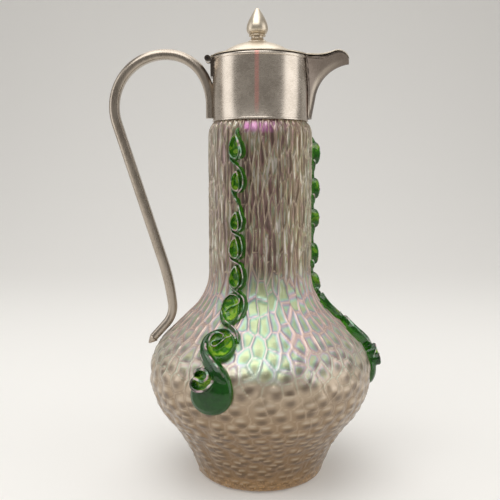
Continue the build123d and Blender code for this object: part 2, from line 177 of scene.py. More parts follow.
def unit_slope(line: np.ndarray) -> np.ndarray:
    """Unit vectors along a line, in its first two axes."""
    slope = np.gradient(line[:, :2], axis=0)
    return slope / np.linalg.norm(slope, axis=1, keepdims=True)


# Meshes from arrays


def grid_faces(rows: int, columns: int, ring: bool = True, loop: bool = False) -> np.ndarray:
    """Quads of a grid of places, row after row.

    Args:
        rows: number of rows.
        columns: number of places in a row.
        ring: whether each row closes on itself.
        loop: whether the last row joins the first.
    Returns:
        Corner indices, four to a row.
    """
    across = columns if ring else columns - 1
    row, column = np.meshgrid(np.arange(rows if loop else rows - 1), np.arange(across), indexing="ij")
    next_row = (row + 1) % rows
    next_column = (column + 1) % columns
    corners = [row * columns + column, row * columns + next_column,
               next_row * columns + next_column, next_row * columns + column]
    return np.stack(corners, axis=-1).reshape(-1, 4)


def angles(count: int) -> np.ndarray:
    """Even angles round a circle, in radians."""
    return np.linspace(0, 2 * np.pi, count, endpoint=False)


def upright(x: np.ndarray, z: np.ndarray) -> np.ndarray:
    """Rows (x, 0, z) in the plane of the spout and the handle."""
    return np.stack([x, np.zeros_like(x), z], axis=1)


def turned(radius: np.ndarray, height: np.ndarray, turn: np.ndarray) -> np.ndarray:
    """Places (r cos a, r sin a, z) of radii and heights at angles in radians."""
    level = np.broadcast_to(height, np.broadcast_shapes(radius.shape, turn.shape))
    return np.stack([radius * np.cos(turn), radius * np.sin(turn), level], axis=-1)


def volume(places: np.ndarray, faces: Faces) -> float:
    """Signed volume inside closed faces, from the tetrahedra that they make with the origin."""
    total = 0.0
    for size in (3, 4):
        some = np.array([face for face in faces if len(face) == size])
        if len(some):
            for second in range(1, size - 1):
                a, b, c = places[some[:, 0]], places[some[:, second]], places[some[:, second + 1]]
                total += float(np.einsum("ij,ij->", a, np.cross(b, c)))
    return total / 6


def add_object(name: str, data: bpy.types.ID) -> bpy.types.Object:
    """Puts a new object in the scene."""
    thing = bpy.data.objects.new(name, data)
    bpy.context.scene.collection.objects.link(thing)
    return thing


def smooth_faces(mesh: bpy.types.Mesh) -> None:
    """Shades all faces of a mesh smooth."""
    mesh.polygons.foreach_set("use_smooth", np.ones(len(mesh.polygons), bool))


def add_mesh(name: str, places: np.ndarray, faces: Faces, sharp: float = 35.0) -> bpy.types.Object:
    """Makes a piece of a closed mesh, with its faces turned outwards.

    Args:
        name: the piece's name.
        places: vertex places in mm.
        faces: corner indices of each face.
        sharp: edges over this angle in degrees stay sharp.
    Returns:
        The new object at the origin.
    """
    if volume(places, faces) < 0:
        faces = [face[::-1] for face in faces]
    mesh = bpy.data.meshes.new(name)
    mesh.from_pydata((places * MM).tolist(), [], faces)
    smooth_faces(mesh)
    mesh.set_sharp_from_angle(angle=math.radians(sharp))
    mesh.update()
    return add_object(name, mesh)


def lathe(profile: np.ndarray, columns: int) -> Part:
    """Turns a half section about the Z axis; ends on the axis become single closed poles.

    Args:
        profile: rows of radius and height in mm, from pole to pole or closed on itself.
        columns: number of places round the axis.
    Returns:
        Places and faces.
    """
    poled = profile[0, 0] == 0
    rows = profile[1:-1] if poled else profile
    places = turned(rows[:, 0:1], rows[:, 1:2], angles(columns)).reshape(-1, 3)
    faces = grid_faces(len(rows), columns, loop=not poled).tolist()
    if poled:
        places, faces = close_poles(places, faces, columns, (0, 0, profile[0, 1]), (0, 0, profile[-1, 1]))
    return places, faces


def close_poles(places: np.ndarray, faces: Faces, columns: int, first: tuple, last: tuple) -> Part:
    """Closes both ends of a grid of rings with a fan of triangles to one place each."""
    count = len(places)
    step = np.arange(columns)
    follow = (step + 1) % columns
    low = np.stack([np.full(columns, count), follow, step], axis=1)
    high = np.stack([np.full(columns, count + 1), count - columns + step, count - columns + follow], axis=1)
    return np.vstack([places, [first], [last]]), faces + low.tolist() + high.tolist()


def sweep(centres: np.ndarray, sides: np.ndarray, ups: np.ndarray, section: np.ndarray,
          scale: np.ndarray) -> Part:
    """Carries a closed section along a line of centres and closes both ends.

    Each place is centre + scale (u side + v up) for the section's u and v.

    Args:
        centres: places along the line in mm.
        sides: unit vectors of the section's first axis.
        ups: unit vectors of its second axis.
        section: rows of u and v in mm.
        scale: size of the section at each centre.
    Returns:
        Places and faces.
    """
    across = section[None, :, 0, None] * sides[:, None, :] + section[None, :, 1, None] * ups[:, None, :]
    places = (centres[:, None, :] + scale[:, None, None] * across).reshape(-1, 3)
    faces = grid_faces(len(centres), len(section)).tolist()
    return close_poles(places, faces, len(section), centres[0], centres[-1])


def join_parts(parts: list[Part]) -> Part:
    """Puts several closed meshes in one, each with its faces turned outwards first."""
    places, faces, count = [], [], 0
    for part_places, part_faces in parts:
        if volume(part_places, part_faces) < 0:
            part_faces = [face[::-1] for face in part_faces]
        places.append(part_places)
        faces += [[corner + count for corner in face] for face in part_faces]
        count += len(part_places)
    return np.vstack(places), faces


def bake(piece: bpy.types.Object) -> None:
    """Replaces a piece's mesh by what its modifiers give, and takes them off."""
    graph = bpy.context.evaluated_depsgraph_get()
    mesh = bpy.data.meshes.new_from_object(piece.evaluated_get(graph))
    piece.modifiers.clear()
    old, piece.data = piece.data, mesh
    mesh.name = piece.name
    bpy.data.meshes.remove(old)


def vertex_places(piece: bpy.types.Object) -> np.ndarray:
    """Vertex places of a piece in mm."""
    flat = np.empty(len(piece.data.vertices) * 3, np.float32)
    piece.data.vertices.foreach_get("co", flat)
    return flat.reshape(-1, 3) / MM


def add_values(piece: bpy.types.Object, name: str, values: np.ndarray) -> None:
    """Stores one number for each vertex under a name that the piece's material reads."""
    piece.data.attributes.new(name, "FLOAT", "POINT").data.foreach_set("value", values.astype(np.float32))


def smooth_step(low: float, high: float, values: np.ndarray) -> np.ndarray:
    """Rises from 0 at low to 1 at high as 3 t^2 - 2 t^3."""
    t = np.clip((values - low) / (high - low), 0, 1)
    return t * t * (3 - 2 * t)


# Materials


def linear(colour: str) -> tuple[float, float, float, float]:
    """Linear RGBA of an sRGB hex colour."""
    parts = [int(colour[place:place + 2], 16) / 255 for place in (1, 3, 5)]
    return (*(part / 12.92 if part <= 0.04045 else ((part + 0.055) / 1.055) ** 2.4 for part in parts), 1.0)


class Surface:
    """A new material and its node tree, with a short call for each kind of node that the finishes use."""

    def __init__(self, name: str) -> None:
        """Starts the material with its shader and the object coordinates."""
        self.material = bpy.data.materials.new(name)
        self.material.use_nodes = True
        self.tree = self.material.node_tree
        self.shader = self.tree.nodes["Principled BSDF"]
        self.place = self.tree.nodes.new("ShaderNodeTexCoord").outputs["Object"]

    def fill(self, node: bpy.types.Node, inputs: dict[str, object]) -> None:
        """Sets inputs of a node.

        Args:
            node: the node.
            inputs: for each input its value, or the socket that it is linked to. An input is named by its
                label with spaces as underscores, or by its place as in _0.
        """
        for key, value in inputs.items():
            socket = node.inputs[int(key[1:]) if key[0] == "_" else key.replace("_", " ")]
            if isinstance(value, Socket):
                self.tree.links.new(value, socket)
            else:
                socket.default_value = value

    def give(self, **inputs: object) -> None:
        """Sets inputs of the shader itself."""
        self.fill(self.shader, inputs)

    def add(self, kind: str, settings: dict | None = None, **inputs: object) -> bpy.types.bpy_prop_collection:
        """Adds a node of a kind with its properties and inputs, and returns its outputs."""
        node = self.tree.nodes.new(f"ShaderNode{kind}")
        for key, value in (settings or {}).items():
            setattr(node, key, value)
        self.fill(node, inputs)
        return node.outputs

    def attribute(self, name: str) -> Socket:
        """Number that the mesh holds at each vertex, 0 where it holds none."""
        return self.add("Attribute", {"attribute_name": name})["Fac"]

    def stretched(self, scale: tuple[float, float, float]) -> Socket:
        """Object coordinates times a scale: under 1 it draws a pattern out along that axis."""
        return self.add("Mapping", Vector=self.place, Scale=scale)[0]

    def noise(self, size_mm: float, detail: float, vector: Socket | None = None) -> Socket:
        """Noise with features of a size in mm, on the object coordinates unless another vector is given."""
        place = self.place if vector is None else vector
        return self.add("TexNoise", Vector=place, Scale=1000 / size_mm, Detail=detail)["Fac"]

    def math(self, operation: str, *values: float | Socket, clamp: bool = False) -> Socket:
        """Result of a math operation on one, two or three values."""
        inputs = {f"_{place}": value for place, value in enumerate(values)}
        return self.add("Math", {"operation": operation, "use_clamp": clamp}, **inputs)[0]

    def span(self, value: Socket, low: float, high: float, first: float = 0.0, last: float = 1.0) -> Socket:
        """A value moved from the range of low to high to that of first to last, and held inside it."""
        return self.add("MapRange", Value=value, From_Min=low, From_Max=high, To_Min=first, To_Max=last)[0]

    def colours(self, value: Socket, stops: dict[float, str]) -> Socket:
        """Colour that a value picks from a ramp of stops."""
        node = self.tree.nodes.new("ShaderNodeValToRGB")
        self.fill(node, {"Fac": value})
        elements = node.color_ramp.elements
        while len(elements) < len(stops):
            elements.new(0.5)
        for element, place in zip(elements, sorted(stops)):
            element.position = place
        for element, place in zip(elements, sorted(stops)):
            element.color = linear(stops[place])
        return node.outputs["Color"]

    def amounts(self, value: Socket, stops: dict[float, str]) -> Socket:
        """Amount that a value picks from a ramp of greys, each written as one sRGB byte in hex."""
        return self.colours(value, {place: f"#{tone * 3}" for place, tone in stops.items()})

    def layer(self, amount: Socket, under: Socket, over: str | Socket) -> Socket:
        """One colour laid over another by an amount."""
        colour = linear(over) if isinstance(over, str) else over
        return self.add("Mix", {"data_type": "RGBA"}, _0=amount, _6=under, _7=colour)[2]

    def bump(self, height: Socket, strength: float, distance_mm: float) -> None:
        """Tilts the shader's normal by the slope of a height."""
        self.give(Normal=self.add("Bump", Strength=strength, Distance=distance_mm * MM, Height=height)[0])


@dataclass(frozen=True)
class Skin:
    """What the layers of the lustre read: height and side run from 0 to 1, and edge is in mm."""

    surface: Surface
    height: Socket
    side: Socket
    edge: Socket
    clouds: Socket
    streaks: Socket


@dataclass(frozen=True)
class LustreGlass:
    """Blown glass fumed with metal salts: pearly, taupe and streaked on the neck, mint and lime below it."""

    amber: str = "#B89263"
    honey: str = "#937654"
    beige: str = "#A58F75"
    sand: str = "#CAB9A3"
    taupe: str = "#85766A"
    brown: str = "#3E3029"
    rose: str = "#90606A"
    tan: str = "#BDA680"
    sage: str = "#86A57C"
    silver: str = "#E6E0D6"
    # Tones of the painted reflection across the neck, dark in the middle
    dusk: str = "#B09A90"
    umber: str = "#6A5348"
    plum: str = "#74524C"
    fawn: str = "#7C6858"
    reed: str = "#A8B49A"
    pink: str = "#E2C2BE"
    lilac: str = "#BDB8D2"
    mint: str = "#AEDFC2"
    lime: str = "#C8DDA6"
    magenta: str = "#D07AC0"
    # Painted shadow and painted highlight laid over the relief
    shadow: str = "#483729"
    glare: str = "#DCCDB8"
    # Gold of the painted glints round the heel
    gold: str = "#E3B57C"
    line_foot: str = "#C9B49C"
    line_belly: str = "#CFE4CC"
    line_shoulder: str = "#EED6C4"
    line_throat: str = "#E8CDBE"
    line_neck: str = "#C9B79C"
    streak_mm: float = 1.9
    streak_draw: float = 0.12
    cloud_mm: float = 26.0
    spark_mm: float = 1.1
    cell_mm: float = 4.2
    film_start: float = -0.62
    reach_mm: float = 60.0
    full_mm: float = 210.0

    def make(self) -> bpy.types.Material:
        """Lays body, film, relief marks and glints over each other, all but the film with painted light, and
        is rougher on the shoulder.
        """
        surface = Surface("Lustre glass, fumed and pinched into cells")
        axes = surface.add("SeparateXYZ", _0=surface.place)
        reach = self.reach_mm * MM
        upright = surface.stretched((1.0, 1.0, self.streak_draw))
        height = surface.span(axes["Z"], 0.0, self.full_mm * MM)
        side = surface.span(axes["X"], -reach, reach)
        skin = Skin(surface, height, side, surface.attribute("edge"), surface.noise(self.cloud_mm, 2.0),
                    surface.noise(self.streak_mm, 2.0, upright))
        colour = self.body(skin)
        for cover in (self.film, self.relief, self.glints):
            colour = cover(skin, colour)
        surface.bump(skin.streaks, 0.5, 0.5)
        sheen = surface.amounts(height, {0.34: "95", 0.42: "B4", 0.56: "B4", 0.64: "95"})
        surface.give(Base_Color=colour, Roughness=sheen, Metallic=0.45, IOR=1.5, Coat_Weight=0.4,
                     Coat_Roughness=0.14)
        return surface.material

    def body(self, skin: Skin) -> Socket:
        """Amber at the foot to taupe above, and on the neck upright streaks and a painted reflection from
        side to side.
        """
        surface, height = skin.surface, skin.height
        plain = surface.colours(height, {0.0: self.amber, 0.06: self.honey, 0.18: self.honey,
                                         0.27: self.beige, 0.36: self.sand, 0.52: self.taupe})
        streaky = surface.colours(skin.streaks, {0.4: self.brown, 0.45: self.rose, 0.485: self.taupe,
                                                 0.53: self.tan, 0.575: self.sage, 0.625: self.silver})
        colour = surface.layer(surface.amounts(height, {0.49: "00", 0.6: "E8"}), plain, streaky)
        # Painted reflection across the neck: silver at the left, dark in the middle, lighter at the right
        painted_reflection = surface.colours(skin.side, {0.27: self.silver, 0.34: self.dusk, 0.42: self.umber,
                                            0.52: self.plum, 0.6: self.fawn, 0.68: self.tan,
                                            0.73: self.reed})
        return surface.layer(surface.amounts(height, {0.5: "00", 0.62: "A4"}), colour, painted_reflection)

    def film(self, skin: Skin, under: Socket) -> Socket:
        """Colours of a thin film, from pink at a cell's border over lilac and mint to lime where it is thick.

        They lie on the shoulder and fade to its sides. A magenta patch lies under the collar.
        """
        surface, side = skin.surface, skin.side
        swell = surface.amounts(side, {0.0: "40", 0.2: "00", 0.38: "B0", 0.5: "FF", 0.62: "A0", 0.75: "60",
                                       1.0: "30"})
        thick = surface.math("MULTIPLY_ADD", skin.edge, 1 / self.cell_mm, self.film_start)
        for part, weight in ((surface.attribute("tint"), 0.3), (swell, 0.5), (skin.clouds, 0.6)):
            thick = surface.math("MULTIPLY_ADD", part, weight, thick)
        film = surface.colours(thick, {0.05: self.pink, 0.26: self.lilac, 0.5: self.mint, 0.82: self.lime})
        ragged = surface.math("MULTIPLY_ADD", skin.clouds, 0.1, skin.height)
        zone = surface.amounts(ragged, {0.385: "00", 0.43: "F0", 0.57: "E0", 0.65: "20", 0.98: "10"})
        spread = surface.amounts(side, {0.0: "98", 0.25: "C0", 0.4: "FF", 0.7: "F0", 1.0: "98"})
        colour = surface.layer(surface.math("MULTIPLY", zone, spread), under, film)
        top = surface.amounts(skin.height, {0.945: "00", 0.955: "D0", 0.97: "D0", 0.98: "00"})
        middle = surface.amounts(side, {0.41: "00", 0.44: "FF", 0.54: "E0", 0.59: "60", 0.75: "20"})
        return surface.layer(surface.math("MULTIPLY", top, middle), colour, self.magenta)

    def relief(self, skin: Skin, under: Socket) -> Socket:
        """Painted shade beside the ridges, a painted shadow and a painted highlight in each cell, and pale
        lines on the ridges.
        """
        surface, height, edge = skin.surface, skin.height, skin.edge
        # Painted shade beside the ridges, strongest on the neck, and a painted dark reflection at the flanks
        gap = surface.amounts(surface.span(edge, 0.5, 1.2), {0.0: "A8", 1.0: "00"})
        upper = surface.amounts(height, {0.37: "00", 0.42: "40", 0.5: "60", 0.58: "F0"})
        painted_flank_reflection = surface.amounts(skin.side, {0.0: "FF", 0.22: "D8", 0.36: "00", 0.66: "00", 0.8: "D8",
                                            1.0: "FF"})
        painted_ridge_shade = surface.math("MULTIPLY", gap, surface.math("MAXIMUM", upper, painted_flank_reflection))
        colour = surface.layer(painted_ridge_shade, under, self.shadow)
        # Painted shadow and painted highlight in each cell, from the shade attribute, strongest low on the
        # bottle
        shade = surface.attribute("shade")
        deep = surface.amounts(height, {0.0: "B0", 0.1: "D0", 0.36: "D0", 0.42: "90", 0.5: "00"})
        for tone, sign in ((self.shadow, 1.0), (self.glare, -1.0)):
            part = surface.math("MULTIPLY", shade, sign, clamp=True)
            colour = surface.layer(surface.math("MULTIPLY", part, deep), colour, tone)
        strength = surface.amounts(height, {0.0: "40", 0.18: "80", 0.28: "B8", 0.37: "D8", 0.52: "D0",
                                            0.6: "B0"})
        drawn = surface.math("MULTIPLY", surface.span(edge, 0.2, 0.7, 1.0, 0.0), strength)
        tones = surface.colours(height, {0.3: self.line_foot, 0.36: self.line_belly, 0.42: self.line_shoulder,
                                         0.52: self.line_throat, 0.6: self.line_neck})
        return surface.layer(drawn, colour, tones)

    def glints(self, skin: Skin, under: Socket) -> Socket:
        """Painted glints of gold round the heel."""
        surface = skin.surface
        painted_glints = surface.amounts(surface.noise(self.spark_mm, 1.0), {0.54: "00", 0.64: "FF"})
        heel = surface.amounts(skin.height, {0.01: "E0", 0.05: "00"})
        return surface.layer(surface.math("MULTIPLY", painted_glints, heel), under, self.gold)


@dataclass(frozen=True)
class GreenGlass:
    """Hot-worked green glass: clear and glossy, painted bright in its hollows, with a fumed pink skin on its
    lips.
    """

    bright: str = "#C0F250"
    leaf: str = "#5FB82C"
    moss: str = "#4C9A26"
    # deep, dark and fumed are the painted shade of walls that stand far out
    deep: str = "#2A6E1A"
    dark: str = "#1B6C14"
    fumed: str = "#134218"
    mint: str = "#A9CDB4"
    silver: str = "#DCD5CE"
    pink: str = "#D3B0BA"
    patch_mm: float = 3.4
    worn_mm: float = 3.2
    tallest_mm: float = 7.0
    wall_start: float = -0.15

    def make(self) -> bpy.types.Material:
        """Painted shade darkens walls as they stand out, hollows get a painted glow, and lips and painted
        highlights are pale and less clear.
        """
        surface = Surface("Green glass trail, fire polished")
        patches = surface.noise(self.patch_mm, 1.0)
        stand = surface.attribute("stand")
        # Painted shade: walls darker the farther they stand out of the bottle
        share = surface.math("MULTIPLY_ADD", stand, 1 / self.tallest_mm, self.wall_start)
        mixed = surface.math("MULTIPLY_ADD", patches, 0.3, share, clamp=True)
        walls = surface.colours(mixed, {0.02: self.leaf, 0.16: self.moss, 0.32: self.deep, 0.62: self.dark,
                                        1.0: self.fumed})
        # Painted light: the hollows glow bright green where light would gather in the glass
        hollows = surface.colours(patches, {0.38: self.moss, 0.48: self.leaf, 0.58: self.bright})
        green = surface.layer(surface.attribute("glow"), walls, hollows)
        # Pale fumed skin on the lips, and the same pale tones as painted highlights along the rope
        skin = surface.colours(patches, {0.38: self.mint, 0.47: self.silver, 0.58: self.pink})
        kept = surface.span(surface.noise(self.worn_mm, 1.0), 0.38, 0.58, 0.25, 1.0)
        lip = surface.math("MULTIPLY", surface.attribute("lip"), kept)
        surface.give(Base_Color=surface.layer(lip, green, skin), Roughness=0.08, IOR=1.52,
                     Specular_IOR_Level=0.22, Transmission_Weight=surface.span(lip, 0.0, 1.0, 0.6, 0.05),
                     Coat_Weight=0.1, Coat_Roughness=0.03)
        return surface.material


@dataclass(frozen=True)
class Wear:
    """Upright streak on the front where the plate is worn: middle along X, reach and lowest height in mm."""

    middle: float
    reach: float
    lowest: float
    colour: str
    fade: float = 8.0


@dataclass(frozen=True)
class SilverPlate:
    """Silver plate on brass, brushed or polished: warm grey metal with fine scratches and light tarnish."""

    name: str
    colour: str
    dark: str
    roughness: float
    spread: float
    scratch_mm: float
    stretch: tuple[float, float, float]
    bump: float
    wear: tuple[Wear, ...] = ()
    tarnish_mm: float = 12.0
    # Painted highlight colour, laid where the mesh holds worn: beside the spout's nose
    polished: str = "#9F9589"

    def make(self) -> bpy.types.Material:
        """Scratches run one way as a stretched noise, and tarnish is a large soft noise.

        Wear shows the metal in streaks, and a painted highlight lies where the mesh holds "worn".
        """
        surface = Surface(self.name)
        scratches = surface.noise(self.scratch_mm, 3.0, surface.stretched(self.stretch))
        tarnish = surface.math("MULTIPLY", surface.noise(self.tarnish_mm, 4.0), 0.5)
        both = surface.math("MULTIPLY_ADD", scratches, 0.5, tarnish)
        tone = surface.colours(both, {0.36: self.dark, 0.54: self.colour})
        for streak in self.wear:
            tone = self.worn_by(surface, streak, scratches, tone)
        # Painted highlight where the mesh holds worn, beside the spout's nose
        tone = surface.layer(surface.attribute("worn"), tone, self.polished)
        surface.bump(scratches, self.bump, 0.2)
        low, high = self.roughness - self.spread, self.roughness + self.spread
        surface.give(Base_Color=tone, Metallic=1.0, Roughness=surface.span(both, 0.35, 0.65, low, high))
        return surface.material

    @staticmethod
    def worn_by(surface: Surface, streak: Wear, grain: Socket, tone: Socket) -> Socket:
        """Mixes a streak's colour into a tone, broken up by the grain of the scratches."""
        axes = surface.add("SeparateXYZ", _0=surface.place)
        far = surface.math("ABSOLUTE", surface.math("SUBTRACT", axes["X"], streak.middle * MM))
        amount = surface.span(far, 0.4 * streak.reach * MM, streak.reach * MM, 1.0, 0.0)
        front = surface.math("LESS_THAN", axes["Y"], 0.0)
        above = surface.span(axes["Z"], streak.lowest * MM, (streak.lowest + streak.fade) * MM)
        for other in (front, above, surface.span(grain, 0.4, 0.6, 0.6, 0.9)):
            amount = surface.math("MULTIPLY", amount, other)
        return surface.layer(amount, tone, streak.colour)


@dataclass(frozen=True)
class Plaster:
    """Plaster of Paris fill: matt, chalky and a little grainy."""

    colour: str = "#D9D3C6"
    shade: str = "#BDB6A8"
    grain_mm: float = 0.8

    def make(self) -> bpy.types.Material:
        """Fine grains in the bump and a faint mottle in the colour."""
        surface = Surface("Plaster of Paris, set")
        grains = surface.noise(self.grain_mm, 2.0)
        surface.bump(grains, 0.4, 0.4)
        surface.give(Base_Color=surface.colours(grains, {0.3: self.shade, 0.6: self.colour}), Roughness=0.9)
        return surface.material


# Glass


@dataclass(frozen=True)
class Spot:
    """Soft spot of painted light in each cell, shadow for a positive weight and highlight for a negative one:
    place in shares of the cell, squash, reach inside and outside, and weight.
    """

    aside: float
    low: float
    squash: float
    inner: float
    outer: float
    weight: float

    def at(self, aside: np.ndarray, low: np.ndarray) -> np.ndarray:
        """How strong the spot is at shares of a cell from its middle."""
        far = np.hypot(aside - self.aside, self.squash * (low - self.low))
        return self.weight * smooth_step(self.outer, self.inner, far)


@dataclass
class Bottle:
    """Blown bottle with a pinched relief of cells over its whole outside. Sizes in mm.

    The relief's rows are a row_share of a cell's length apart, and each cell strays from its place by up to
    these shares of its width and length. Its pillow reaches a pillow_share of its width from its middle.
    """

    mouth_r: float = 25.2
    lip_z: float = 226.0
    neck_entry_z: float = 207.3
    neck_r: float = 29.2
    neck_top_z: float = 198.0
    throat_r: float = 33.0
    lean: float = 46.0
    crest_r: float = 28.0
    belly_r: float = 64.1
    belly_z: float = 62.0
    belly_arc_r: float = 39.0
    belly_turn: float = 40.0
    foot_r: float = 36.3
    heel: float = 3.0
    wall: float = 3.0
    floor_z: float = 6.0
    foot_ring_r: float = 26.0
    punt: float = 2.5
    columns: int = 552
    fewer: int = 4
    rings: tuple[int, int, int] = (4, 50, 112)
    lip_run: float = 17.0
    neck_run: tuple[float, float] = (-11.0, 74.0)
    rest_start: float = 75.3
    ridge_half: float = 0.6
    neck_ridge_half: float = 0.48
    row_share: float = 0.82
    stray: tuple[float, float] = (0.34, 0.38)
    pillow_share: float = 0.62
    # Painted shadow spot below each cell's middle and painted highlight spot above it
    spots: tuple[Spot, ...] = (Spot(0.04, 0.14, 1.3, 0.08, 0.5,
                                    1.0), Spot(-0.06, -0.24, 1.9, 0.12, 0.42, -0.8))
    side: Route = field(init=False)
    top: float = field(init=False)

    def __post_init__(self) -> None:
        """Works out the side from the lip down to the foot."""
        lean = math.radians(self.lean)
        arcs = (self.throat_r + self.crest_r) * (1 - math.cos(lean))
        shoulder = (self.belly_r - self.neck_r - arcs) / math.sin(lean)
        throat_z = self.belly_z + (self.throat_r + self.crest_r) * math.sin(lean) + shoulder * math.cos(lean)
        entry = arc_to((self.neck_r, self.neck_top_z), 90, (self.mouth_r, self.neck_entry_z))
        legs = [Leg(self.lip_z - self.neck_entry_z), Leg(0, entry.turn), Leg(entry.length, -entry.turn),
                Leg(self.neck_top_z - throat_z), arc(self.throat_r, self.lean), Leg(shoulder),
                arc(self.crest_r, -self.lean), arc(self.belly_arc_r, -self.belly_turn)]
        self.top = legs[0].length + entry.length
        place, heading = Route((self.mouth_r, self.lip_z), -90, tuple(legs)).end()
        legs.append(arc_to(place, heading, (self.foot_r, 0)))
        self.side = Route((self.mouth_r, self.lip_z), -90, tuple(legs))

    def on_glass(self, station: np.ndarray, across: np.ndarray, lift: np.ndarray,
                 azimuth: float) -> np.ndarray:
        """Places over the glass.

        The station is the run down the side from the top of the straight neck, across is the arc to the left
        seen from above, and lift is the distance out along the side's normal.

        Args:
            station: stations in mm.
            across: distances along the ring in mm.
            lift: distances out of the glass in mm.
            azimuth: where across is 0, in degrees from the spout.
        Returns:
            Places in mm.
        """
        flat, heading = self.side.at(np.ravel(station) + self.top)
        flat = flat.reshape(*np.shape(station), 2)
        heading = heading.reshape(np.shape(station))
        radius = flat[..., 0] - np.sin(heading) * lift
        height = flat[..., 1] + np.cos(heading) * lift
        return turned(radius, height, math.radians(azimuth) + across / flat[..., 0])

    def cell_size(self, station: np.ndarray) -> tuple[np.ndarray, np.ndarray]:
        """Width and length of the relief's cells: upright wrinkles on the neck, round cells on the belly."""
        stops = [-14, 55, 76, 92, 108, 124, 140, 155, 175, 218]
        width = np.interp(station, stops, [3.4, 3.4, 3.8, 4.9, 6.0, 7.4, 8.6, 9.0, 8.4, 7.0])
        length = np.interp(station, stops, [16, 16, 15, 14, 12.5, 10.8, 9.4, 7.6, 5.8, 4.4])
        return width, length

    def seeds(self, station: np.ndarray, radius: np.ndarray) -> np.ndarray:
        """Middles of the cells: staggered rows with as many as fit round, each a little off its place."""
        chance = np.random.default_rng(SEED)
        aside, along = self.stray
        rows = []
        at = station[0] - 18
        stagger = 0.0
        while at < station[-1] + 8:
            width, length = (float(size) for size in self.cell_size(np.array(at)))
            count = round(2 * math.pi * float(np.interp(at, station, radius)) / width)
            step = np.arange(count) + stagger + chance.uniform(-aside, aside, count)
            down = at + chance.uniform(-along, along, count) * length
            rows.append(np.stack([down, step * 2 * np.pi / count], axis=1))
            at += self.row_share * length
            stagger = 0.5 - stagger
        return np.vstack(rows)

    def cells(self, station: np.ndarray, radius: np.ndarray) -> dict[str, np.ndarray]:
        """Cells of the relief over a grid of rings, as the regions nearest to each seed.

        Distances are stretched so that a cell is longer than wide: d^2 = across^2 + (k along)^2 with k the
        width over the length. The border with the next seed is where both are equal. The distance to it is
        half the difference of the squares over the length of that difference's slope.

        Args:
            station: station of each ring in mm.
            radius: radius of each ring in mm.
        Returns:
            For each place the distance to the border in mm, how near the cell's middle is from 1 to 0, the
            cell's own tint, and a painted shade: 1 for painted shadow below its middle, under 0 for painted
            highlight above it.
        """
        seeds = self.seeds(station, radius)
        tints = np.random.default_rng(SEED + 1).uniform(0, 1, len(seeds))
        turns = angles(self.columns)
        edge, middle, tint, shade = np.empty((4, len(station), self.columns))
        pick = np.arange(self.columns)
        for ring, (at, around, width, length) in enumerate(zip(station, radius, *self.cell_size(station))):
            some = np.flatnonzero(np.abs(seeds[:, 0] - at) < 2.1 * length)
            across = ((turns[:, None] - seeds[None, some, 1] + np.pi) % (2 * np.pi) - np.pi) * around
            along = np.broadcast_to(at - seeds[None, some, 0], across.shape)
            squash = width / length
            squares = across**2 + (squash * along) ** 2
            first, second = np.argpartition(squares, 1, axis=1)[:, :2].T
            swap = squares[pick, first] > squares[pick, second]
            first, second = np.where(swap, second, first), np.where(swap, first, second)
            off = squares[pick, second] - squares[pick, first]
            slope = np.hypot(across[pick, first] - across[pick, second],
                             squash**2 * (along[pick, first] - along[pick, second]))
            edge[ring] = off / 2 / np.maximum(slope, 0.1)
            far = np.sqrt(squares[pick, first]) / width
            middle[ring] = 1 - np.clip(far / self.pillow_share, 0, 1) ** 2
            tint[ring] = tints[some][first]
            aside, low = across[pick, first] / width, along[pick, first] / length
            # Painted shade: shadow below the cell's middle, highlight above it
            shade[ring] = sum(spot.at(aside, low) for spot in self.spots)
        return {"edge": edge, "middle": middle, "tint": tint, "shade": shade}

    def build(self) -> bpy.types.Object:
        """Closed skin: fine rings outside, and coarse rings under the base and inside, joined by fans.

        The outside is moved along its normal by ridge height exp(-(edge / half width)^2) + pillow height
        middle, with both heights set by the height on the bottle. Its rings are few at the lip, wide apart
        on the neck and close below it.
        """
        lip, neck, rest = self.rings
        first, last = self.neck_run
        stations = np.concatenate([np.linspace(0, self.lip_run, lip),
                                   np.linspace(self.top + first, self.top + last, neck),
                                   np.linspace(self.top + self.rest_start, self.side.length, rest)])
        flat, heading = self.side.at(stations)
        height = flat[:, 1]
        flat[:, 0] -= self.heel - np.sqrt(self.heel**2 - np.clip(self.heel - height, 0, self.heel) ** 2)
        cells = self.cells(stations - self.top, flat[:, 0])
        shown = smooth_step(self.neck_entry_z + 1, self.neck_entry_z - 4, height) * smooth_step(0, 3, height)
        ridge_tall = np.interp(height, [0, 40, 66, 80, 112, 125], [0.35, 0.3, 0.45, 0.7, 0.75, 0.8]) * shown
        pillow = np.interp(height, [0, 30, 66, 78, 112, 125], [0.5, 1.1, 1.35, 0.3, -0.15, -0.35]) * shown
        half = np.interp(height, [110, 125], [self.ridge_half, self.neck_ridge_half])[:, None]
        rise = ridge_tall[:, None] * np.exp(-(cells["edge"] / half) ** 2) + pillow[:, None] * cells["middle"]
        radius = flat[:, 0, None] - np.sin(heading)[:, None] * rise
        level = height[:, None] + np.cos(heading)[:, None] * rise
        turn = angles(self.columns)
        outside = turned(radius, level, turn)[::-1]
        base = self.under_base()
        inner = self.inside()
        coarse = self.columns // self.fewer
        turn = turn[::self.fewer]
        under, within = (turned(rows[:, 0:1], rows[:, 1:2], turn) for rows in (base[1:], inner[:-1]))
        fine_start = under.shape[0] * coarse
        inner_start = fine_start + outside.shape[0] * self.columns
        faces = grid_faces(under.shape[0], coarse).tolist()
        faces += self.fans(fine_start - coarse, fine_start, False)
        faces += (grid_faces(outside.shape[0], self.columns) + fine_start).tolist()
        faces += self.fans(inner_start, inner_start - self.columns, True)
        faces += (grid_faces(within.shape[0], coarse) + inner_start).tolist()
        places = np.vstack([block.reshape(-1, 3) for block in (under, outside, within)])
        places, faces = close_poles(places, faces, coarse, (0, 0, base[0, 1]), (0, 0, inner[-1, 1]))
